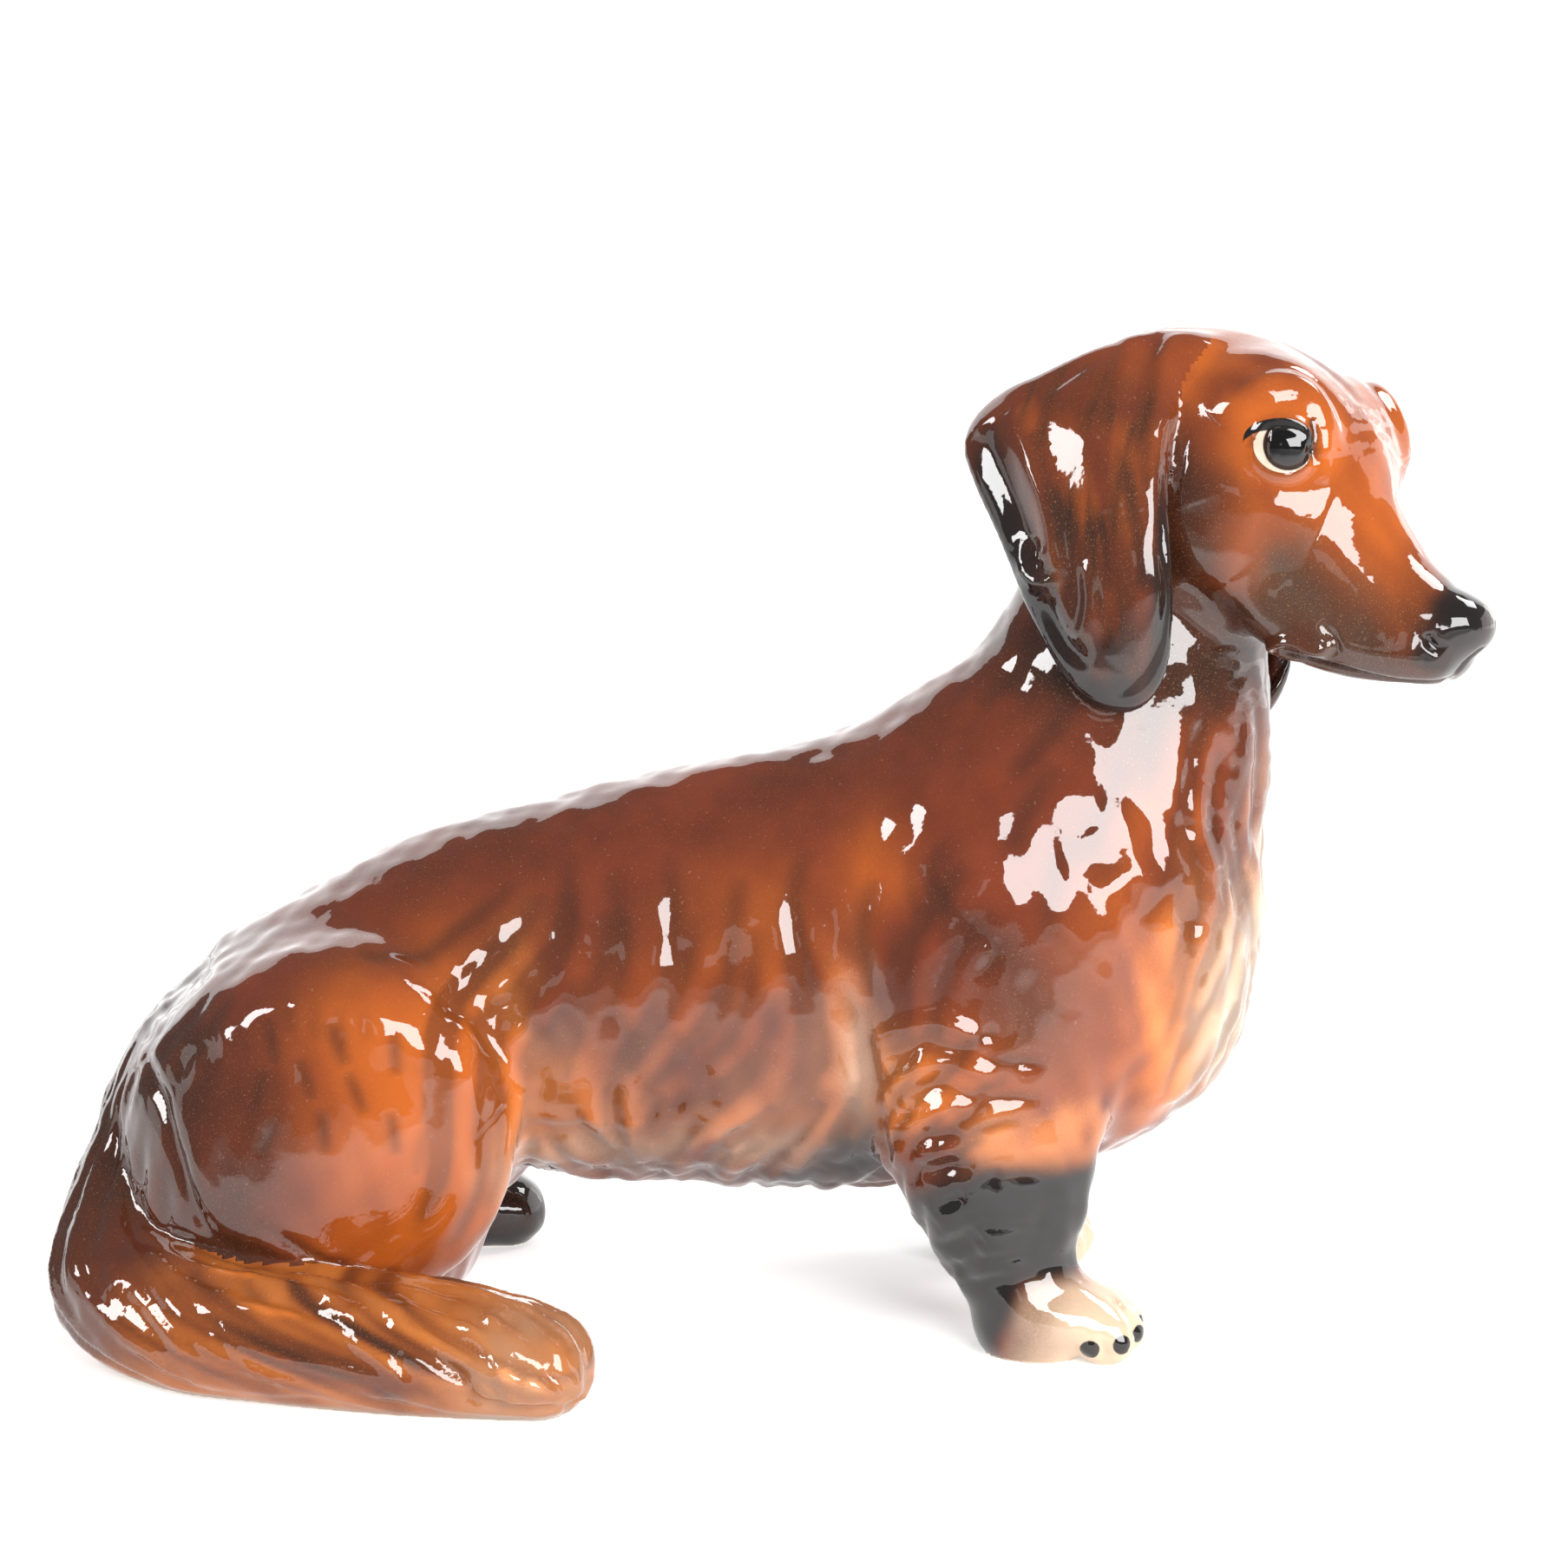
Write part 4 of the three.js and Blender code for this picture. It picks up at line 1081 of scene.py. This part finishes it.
# The face, in the head's frame, for the dog's left side; the right side mirrors it.
EYE_AT = np.array([24.1, 19.6, 9.0])
EYE_FORWARD = np.array([0.882, -0.420, 0.215])
EYE_UP = unit(np.array([-0.215, 0.047, 0.975]))
EYE_OUT = unit(np.cross(EYE_UP, EYE_FORWARD))
EYE_FRONT, EYE_REAR = 4.7, 5.3  # from the eye's middle to the inner and outer corners
UPPER_RISE, LOWER_DROP = 3.9, 4.0
WEDGE = 7.2  # how far back the black of the upper lid runs
IRIS_AT, IRIS_RADIUS, PUPIL_RADIUS = (0.5, 0.7), 4.3, 3.1


def eye_point(a, b, out=0.0):
    return EYE_AT + a * EYE_FORWARD + b * EYE_UP + out * EYE_OUT


def arch(a, rear=EYE_REAR):
    """Share of the lids' full height at a distance from the eye's middle."""
    t = np.clip(np.where(a > 0, a / EYE_FRONT, a / rear), -1, 1)
    return (1 - t**2) ** 0.55


def lid_line(rise, gap, spread=1.0):
    """A line round the eye's opening, gap outside it."""
    steps = np.linspace(-EYE_REAR, EYE_FRONT, 9)
    return [eye_point(a * spread, rise * float(arch(a)) + math.copysign(gap, rise)) for a in steps]


UPPER_LID, LOWER_LID = lid_line(UPPER_RISE, 0.9, 1.08), lid_line(-LOWER_DROP, 0.7, 1.06)
EYE_DOME = [eye_point(a, 0.3) for a in (-2.8, 0.4, 3.6)]
BROW = [[11.5, 22, 8], [12.6, 21.6, 12], [15, 19.8, 16.6], [17.9, 17.2, 19.1], [21, 15, 19.4],
        [24, 14, 18.0], [26.6, 13.4, 16], [28.8, 13.2, 13.4], [30.2, 13, 10.5]]
STOP = [[10, 21.8, 13.5], [13, 19.5, 18.6], [16.5, 16, 21.6], [21, 12.6, 22], [25.5, 11.5, 20],
        [29, 11, 16.6], [31.5, 11, 12.5]]
CHEEKBONE = [[10, 23, -2], [16, 21.8, -0.5], [22, 20, -1], [28, 17.5, -1.5], [34, 15, -1]]
MIDLINE = [[4, 0, 23.5], [14, 0, 22], [24, 0, 16.5]]
TEAR = [[25.1, 16.6, 15], [26.4, 16.6, 12.8], [27.4, 16.7, 10.6], [28.6, 16.4, 8.2]]
TEAR_FOLD = [[27.5, 15, 14.5], [29, 15, 11.5], [30.3, 14.8, 8], [31, 14.6, 5.6]]
MOUTH = [[35.5, 13.0, -23.3], [38.8, 13.1, -23.1], [42, 12.4, -22.9], [45.7, 11.7, -22.0],
         [49.7, 9.6, -21.4], [54, 7, -20.6], [58.3, 4.4, -18.8], [61, 0, -17.2]]
CORNER = [[40.5, 13, -23.4], [37, 12.4, -24.6], [34, 12, -24.2], [33.9, 13.6, -22.9],
          [36.3, 14.8, -21.3], [38.1, 14.9, -20.7], [40.3, 14.4, -20.8], [42.5, 14, -20.4],
          [43.6, 14.2, -19.1], [42.6, 14.6, -17.8]]
CORNER_CREASE = [[41, 15, -15.6], [43.9, 14.5, -16.9], [45.2, 14, -18.8], [44.2, 13.6, -20.6]]
UPPER_LIP = [[44, 14.4, -17], [48, 13.1, -17.4], [53.2, 11.1, -16.3], [58.4, 8.9, -14.7]]
CHEEK_DIMPLE = [[14, 20, -6], [19, 19, -10.5], [24, 17.5, -15]]
JAW = [[12, 17, -22], [20, 15, -24], [27, 12, -25]]
NOSTRIL = [[57.6, 9.6, -9.6], [58.6, 9.0, -11.2], [60.4, 7.4, -12.0]]
NOSE_RIM = [[58, 8, -5], [56.4, 9.8, -8.2], [56.6, 9.8, -11.2], [58.6, 9, -13.2],
            [61.6, 5.6, -13.2]]
PHILTRUM = [[64, 0, -9], [63.6, 0, -12.5], [61.5, 0, -16]]
TOOLS = [
    # line, width, height, how dark the glaze is in it (in TEAR, painted shade of the lid fold)
    (UPPER_LID, 1.0, 1.0, 0), (LOWER_LID, 1.0, 0.6, 0),
    (BROW, 3.4, 1.2, 0), (STOP, 2.0, -0.7, 0.1), (CHEEKBONE, 5.0, 1.3, 0), (EYE_DOME, 3.0, 0.9, 0),
    # TEAR's darkening is painted shade in the fold at the eye's inner corner.
    (MIDLINE, 2.0, -0.5, 0), (TEAR, 0.9, -0.7, 0.9), (TEAR_FOLD, 1.3, 0.5, 0),
    (MOUTH, 0.9, -1.4, 1.0), (CORNER, 1.0, 1.4, 0), (CORNER_CREASE, 0.9, -0.8, 0.4),
    (UPPER_LIP, 1.8, 0.5, 0), (CHEEK_DIMPLE, 4.0, -0.7, 0.1), (JAW, 2.6, 0.5, 0),
    (NOSTRIL, 1.0, -1.5, 1.0), (NOSE_RIM, 1.6, -0.4, 0.4),
    (PHILTRUM, 0.7, -0.6, 0.8),
]


def pressed(line):
    """The line moved onto the clay of the head's right side."""
    p = from_head(np.asarray(line, float) * [1, -1, 1])
    for _ in range(4):
        p = p - clay(p)[:, None] * clay_normal(p)
    return to_head(p) * [1, -1, 1]


TOOLS = [(pressed(spline(line, 4 * len(line))), *settings) for line, *settings in TOOLS]


def face_carving(h):
    """Heights and glaze darkening of the face at points in the head's frame, with painted shade in
    the fold at the eye's inner corner.
    """
    return tooled(np.stack([h[:, 0], np.abs(h[:, 1]), h[:, 2]], 1), TOOLS)


def eye_marks(h):
    """Distances in the nearer eye's plane to the lids' opening, the iris and the lash line, and
    painted shade in the inner corner's fold.
    """
    q = h * [1, 0, 1] + np.abs(h[:, [1]]) * [0, 1, 0] - EYE_AT
    a, b, out = q @ EYE_FORWARD, q @ EYE_UP, q @ EYE_OUT
    away = np.maximum(np.abs(out) - 7, 0) * 5
    past = np.maximum(a - EYE_FRONT, -EYE_REAR - a)
    opening = np.maximum.reduce([b - UPPER_RISE * arch(a), -LOWER_DROP * arch(a) - b, past])
    iris = np.hypot(a - IRIS_AT[0], b - IRIS_AT[1])
    lid = b - UPPER_RISE * arch(a, WEDGE)
    band = np.maximum(-1.1 - lid, lid - 0.7)
    lash = np.maximum(band, np.maximum(a - EYE_FRONT - 0.3, -WEDGE - a))
    # dark_patch: painted shade in the lid fold at the eye's inner corner, strongest at its middle.
    dark_patch = np.hypot((a - 4.9 + 0.25 * b) / 1.1, (b - 3.2) / 3.6)
    return {"opening": opening + away, "iris": iris + away, "lash": lash + away,
            "dark_patch": 1 - np.clip(dark_patch + away, 0, 1)}


CLAWS = [[53, -38.4, 3.4], [58.4, -37.6, 4.2], [62.3, -33, 4.4], [63.6, -26.6, 4.4]]
CLAW_RADIUS = 1.75


def claw_marks(p):
    """Distance to the painted claws' edges."""
    near = np.stack([p[:, 0] + LEFT_LEG_SETBACK * (p[:, 1] > 0), -np.abs(p[:, 1]), p[:, 2]], 1)
    return np.min([np.linalg.norm(near - c, axis=1) for c in CLAWS], 0) - CLAW_RADIUS


SLOTS = {"body": "body_glaze", "head": "head_glaze", "ear_right": "ear_glaze",
         "ear_left": "ear_glaze", "foreleg_right": "foreleg_glaze",
         "foreleg_left": "foreleg_glaze", "tail": "tail_glaze",
         "hind_foot_left": "hind_foot_glaze"}

def face_share(h):
    """How far the face's tools reach, fading out at the throat."""
    return smooth(-26, -23, h[:, 2])


face_lift, face_dark = face_carving(to_head(base))
on_face = face_share(to_head(base)) * on(HEAD)
carved = base + normals * (lift + face_lift * on_face)[:, None]
carved_normals = vertex_normals(carved, quads)
grooves = np.maximum(crease, face_dark * on_face)


# ---- Glaze --------------------------------------------------------------------------------------

def srgb(r, g, b):
    return [((c / 255 + 0.055) / 1.055) ** 2.4 if c > 10 else c / 3295 for c in (r, g, b)]


RUSSET = srgb(106, 47, 27)
DEEP_RUSSET = [c * 0.82 for c in RUSSET]
AMBER = srgb(174, 86, 28)
UMBER = srgb(50, 30, 22)
HONEY = srgb(232, 136, 60)
SALMON = srgb(176, 108, 72)
CREAM = srgb(194, 168, 142)
BLACK = srgb(24, 21, 20)
CLAY = srgb(206, 194, 176)
EYE_WHITE = srgb(190, 176, 158)
IRIS, PUPIL, SPECK = srgb(38, 21, 13), srgb(6, 5, 6), srgb(232, 170, 104)
GLAZE_IOR = 1.6
GLOSS_ROUGHNESS, BARE_ROUGHNESS = 0.045, 0.645


class Nodes:
    def __init__(self, material):
        self.tree = material.node_tree

    def add(self, kind, inputs=(), **settings):
        node = self.tree.nodes.new(kind)
        for key, value in settings.items():
            setattr(node, key, value)
        for key, value in dict(inputs).items():
            if isinstance(value, bpy.types.NodeSocket):
                self.tree.links.new(value, node.inputs[key])
            else:
                node.inputs[key].default_value = value
        return node

    def mask(self, name):
        return self.add("ShaderNodeAttribute", attribute_name=name).outputs["Fac"]

    def math(self, operation, *values, clamp=False):
        return self.add("ShaderNodeMath", dict(enumerate(values)), operation=operation,
                        use_clamp=clamp).outputs[0]

    def ramp(self, value, low, high):
        return self.add("ShaderNodeMapRange", {"Value": value, "From Min": low, "From Max": high},
                        interpolation_type="SMOOTHSTEP").outputs["Result"]

    def mix(self, share, a, b):
        node = self.add("ShaderNodeMix", data_type="RGBA", blend_type="MIX")
        for key, value in ((0, share), (6, a), (7, b)):
            if isinstance(value, bpy.types.NodeSocket):
                self.tree.links.new(value, node.inputs[key])
            else:
                node.inputs[key].default_value = value if key == 0 else (*value, 1)
        return node.outputs[2]

    def noise(self, scale, detail=2.0, roughness=0.5):
        where = self.add("ShaderNodeTexCoord").outputs["Object"]
        return self.add("ShaderNodeTexNoise", {"Vector": where, "Scale": scale, "Detail": detail,
                                               "Roughness": roughness}).outputs["Fac"]


def glaze(name, eyes=False, claws=False):
    """Airbrushed underglaze colours, with painted shade by the ears and eyes, beneath a clear,
    slightly rippled gloss.
    """
    material = bpy.data.materials.new(name)
    material.use_nodes = True
    shader = material.node_tree.nodes["Principled BSDF"]
    n = Nodes(material)
    grain = n.noise(2600, 2, 0.6)
    cloud = n.noise(90, 3, 0.55)
    jitter = n.math("MULTIPLY_ADD", grain, 0.35, -0.175)

    def airbrushed(mask):
        """The mask with a spatter of dots where it fades out."""
        soft_edge = n.math("MULTIPLY", mask, n.math("SUBTRACT", 1.0, mask))
        spatter = n.math("MULTIPLY", n.math("MULTIPLY", soft_edge, 4.0), jitter)
        return n.math("ADD", mask, spatter, clamp=True)

    color = n.mix(n.ramp(cloud, 0.3, 0.7), RUSSET, DEEP_RUSSET)
    # The umber mask also holds painted shade: on the neck under the ears and low on the cheeks.
    for coat, tint in (("amber", AMBER), ("umber", UMBER), ("honey", HONEY), ("salmon", SALMON),
                       ("cream", CREAM)):
        color = n.mix(airbrushed(n.mask(coat)), color, tint)
    color = n.mix(n.math("MULTIPLY", n.mask("crease"), 0.55), color, UMBER)
    specks = n.ramp(n.noise(4200, 1, 0.5), 0.62, 0.72)
    speck_strength = n.math("MULTIPLY_ADD", n.mask("umber"), 0.11, 0.04)
    color = n.mix(n.math("MULTIPLY", specks, speck_strength), color, SPECK)
    motes = n.ramp(n.noise(1700, 0, 0.5), 0.81, 0.83)
    color = n.mix(n.math("MULTIPLY", motes, 0.09), color, CREAM)
    color = n.mix(airbrushed(n.mask("black")), color, BLACK)
    if eyes:
        opening, iris, lash = n.mask("opening"), n.mask("iris"), n.mask("lash")
        # Painted shade of the lid fold at the eye's inner corner.
        color = n.mix(n.math("MULTIPLY", n.ramp(n.mask("dark_patch"), 0.0, 0.6), 0.8), color, UMBER)
        color = n.mix(n.math("MULTIPLY", n.ramp(opening, 1.6, 0.2), 0.5), color, UMBER)
        inside = n.ramp(opening, 0.12, -0.02)
        color = n.mix(inside, color, EYE_WHITE)
        outer = n.ramp(iris, IRIS_RADIUS + 0.15, IRIS_RADIUS - 0.15)
        inner = n.ramp(iris, PUPIL_RADIUS + 0.5, PUPIL_RADIUS - 0.3)
        color = n.mix(n.math("MULTIPLY", outer, inside), color, IRIS)
        color = n.mix(n.math("MULTIPLY", inner, inside), color, PUPIL)
        color = n.mix(n.ramp(lash, 0.10, -0.15), color, BLACK)
    if claws:
        color = n.mix(n.ramp(n.mask("claw"), 0.15, -0.1), color, BLACK)
    bare = n.mask("bare")
    color = n.mix(bare, color, CLAY)
    n.tree.links.new(color, shader.inputs["Base Color"])
    rough = n.math("MULTIPLY_ADD", bare, BARE_ROUGHNESS - GLOSS_ROUGHNESS, GLOSS_ROUGHNESS)
    n.tree.links.new(rough, shader.inputs["Roughness"])
    shader.inputs["IOR"].default_value = GLAZE_IOR
    peel = n.add("ShaderNodeBump", {"Strength": 0.05, "Distance": 0.001,
                                    "Height": n.noise(330, 2, 0.5)})
    n.tree.links.new(peel.outputs["Normal"], shader.inputs["Normal"])
    return material


GLAZES = {
    "body_glaze": glaze("body_glaze"),
    "head_glaze": glaze("head_glaze", eyes=True),
    "ear_glaze": glaze("ear_glaze"),
    "foreleg_glaze": glaze("foreleg_glaze", claws=True),
    "tail_glaze": glaze("tail_glaze"),
    "hind_foot_glaze": glaze("hind_foot_glaze"),
}


def refined_head(used, rest, faces):
    """The head with each quad cut in four and the face carved anew on the finer mesh.

    Its rim keeps to the middle of the coarse edges that the body's mesh has there.
    """
    fresh, small, pairs, uses = split_quads(rest, faces)
    old, cut = len(rest), uses == 1
    middles = slice(old, old + len(pairs))
    rim = np.zeros(len(fresh), bool)
    rim[pairs[cut].ravel()] = True
    old_rim = rim[:old].copy()
    rim[middles] = cut
    up = vertex_normals(fresh, small)
    moved = np.where(rim[:, None], fresh, relax(fresh, small, 0.5))

    def spread(values):
        return np.concatenate([values, values[pairs].mean(1), values[faces].mean(1)])

    def keep_rim(values, coarse):
        values[:old][old_rim] = coarse[old_rim]
        values[middles][cut] = coarse[pairs[cut]].mean(1)

    h = to_head(moved)
    face_lift, face_dark = face_carving(h)
    shaped = moved + up * (spread(lift[used]) + face_lift * face_share(h))[:, None]
    keep_rim(shaped, carved[used])
    shading = vertex_normals(shaped, small)
    keep_rim(shading, carved_normals[used])
    shading[middles][cut] = unit(shading[middles][cut])
    groove = np.maximum(spread(crease[used]), face_dark * face_share(h))
    return moved, up, shaped, shading, small, groove


for index, node in enumerate(PIECES):
    used, faces = np.unique(quads[face_owner == index], return_inverse=True)
    faces = faces.reshape(-1, 4)
    if index == HEAD:
        rest, up, shaped, shading, faces, groove = refined_head(used, base[used], faces)
    else:
        rest, up, groove = base[used], normals[used], grooves[used]
        shaped, shading = carved[used], carved_normals[used]
    masks = paint(rest, up, index, groove)
    if index == HEAD:
        masks.update(eye_marks(to_head(rest)))
    if index in (LEG_R, LEG_L):
        masks["claw"] = claw_marks(rest)
    points, fans = closing_fans(faces, shaped)
    hubs = len(points) - len(shaped)
    shading = np.vstack([shading, np.tile([0.0, 0.0, 1.0], (hubs, 1))])
    masks = {key: np.concatenate([value, np.zeros(hubs)]) for key, value in masks.items()}
    thing = make_mesh(node + "_glazed", points, faces, fans, shading, masks)
    thing.data.materials.append(GLAZES[SLOTS[node]])
    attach(thing, "root")
    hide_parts(node)


# ---- Stage, camera and light --------------------------------------------------------------------

def place(x, y, z):
    """A design point in the row frame, in metres."""
    return Vector(np.array([x, y, z]) * MM + ORIGIN)


CAMERA_AT = (0, -755, 244)
CAMERA_PITCH, CAMERA_LENS = 11.1, 99.2
camera_data = bpy.data.cameras.new("camera")
camera_data.sensor_width, camera_data.lens = 36, CAMERA_LENS
camera = bpy.data.objects.new("camera", camera_data)
camera.location = place(*CAMERA_AT)
camera.rotation_euler = (math.radians(90 - CAMERA_PITCH), 0, 0)
bpy.context.scene.collection.objects.link(camera)
bpy.context.scene.camera = camera


LIGHT_DISTANCE = 900
LIGHT_CENTRE = np.array([0, 0, 80])


def softbox(name, azimuth, height, width, length, radiance):
    """A softbox aimed at the dog; its angles are taken at the dog from below the camera."""
    a, e = math.radians(azimuth), math.radians(height)
    away = np.array([math.sin(a) * math.cos(e), -math.cos(a) * math.cos(e), math.sin(e)])
    data = bpy.data.lights.new(name, "AREA")
    data.shape = "RECTANGLE"
    data.size, data.size_y = width, length
    data.energy = math.pi * radiance * width * length
    light = bpy.data.objects.new(name, data)
    light.location = place(*(away * LIGHT_DISTANCE + LIGHT_CENTRE))
    towards = place(*LIGHT_CENTRE) - light.location
    light.rotation_euler = towards.to_track_quat("-Z", "Y").to_euler()
    bpy.context.scene.collection.objects.link(light)


softbox("key_softbox", 30, 23.5, 0.66, 0.54, 12.5)
softbox("left_softbox", -74, 30, 0.26, 0.32, 15)
softbox("right_softbox", 120, 46, 0.30, 0.26, 10)
softbox("right_wall", 114, 4, 0.90, 0.60, 1.5)
softbox("left_wall", -90, 4, 0.30, 0.30, 1.1)
softbox("front_card", -12, 15, 0.14, 0.18, 1.0)

world = bpy.data.worlds.new("studio")
world.use_nodes = True
sky = world.node_tree.nodes["Background"].inputs
sky["Color"].default_value, sky["Strength"].default_value = (0.9, 0.92, 0.95, 1), 0.25
bpy.context.scene.world = world


def stage_sheet(name, corners, color, glow, falloff=None):
    """A pale sheet that glows a little; falloff gives where it dims and how far it does."""
    mesh = bpy.data.meshes.new(name)
    mesh.from_pydata([place(*c) for c in corners], [], [tuple(range(len(corners)))])
    material = bpy.data.materials.new(name)
    material.use_nodes = True
    shader = material.node_tree.nodes["Principled BSDF"]
    shader.inputs["Roughness"].default_value = 0.9
    shader.inputs["Emission Color"].default_value = (1, 1, 1, 1)
    n = Nodes(material)
    lit = 1.0
    if falloff:
        near, far, least = falloff
        spot = n.add("ShaderNodeTexCoord").outputs["Object"]
        y = n.add("ShaderNodeSeparateXYZ", {0: spot}).outputs[1]
        lit = n.add("ShaderNodeMapRange", {"Value": y, "From Min": place(0, far, 0).y,
                                           "From Max": place(0, near, 0).y, "To Min": least},
                    interpolation_type="SMOOTHSTEP").outputs["Result"]
    n.tree.links.new(n.mix(lit, (0, 0, 0), color), shader.inputs["Base Color"])
    n.tree.links.new(n.math("MULTIPLY", lit, glow), shader.inputs["Emission Strength"])
    mesh.materials.append(material)
    thing = bpy.data.objects.new(name, mesh)
    bpy.context.scene.collection.objects.link(thing)


stage_sheet("table", [(-1600, -900, 0), (1600, -900, 0), (1600, 1500, 0), (-1600, 1500, 0)],
            (0.85, 0.85, 0.85), 0.42, falloff=(-200, -320, 0.3))
stage_sheet("backdrop", [(-1600, 1500, 0), (1600, 1500, 0), (1600, 1500, 1500),
                         (-1600, 1500, 1500)], (0.9, 0.9, 0.9), 1.4)
bpy.context.scene.view_settings.view_transform = "Standard"

bpy.context.view_layer.update()
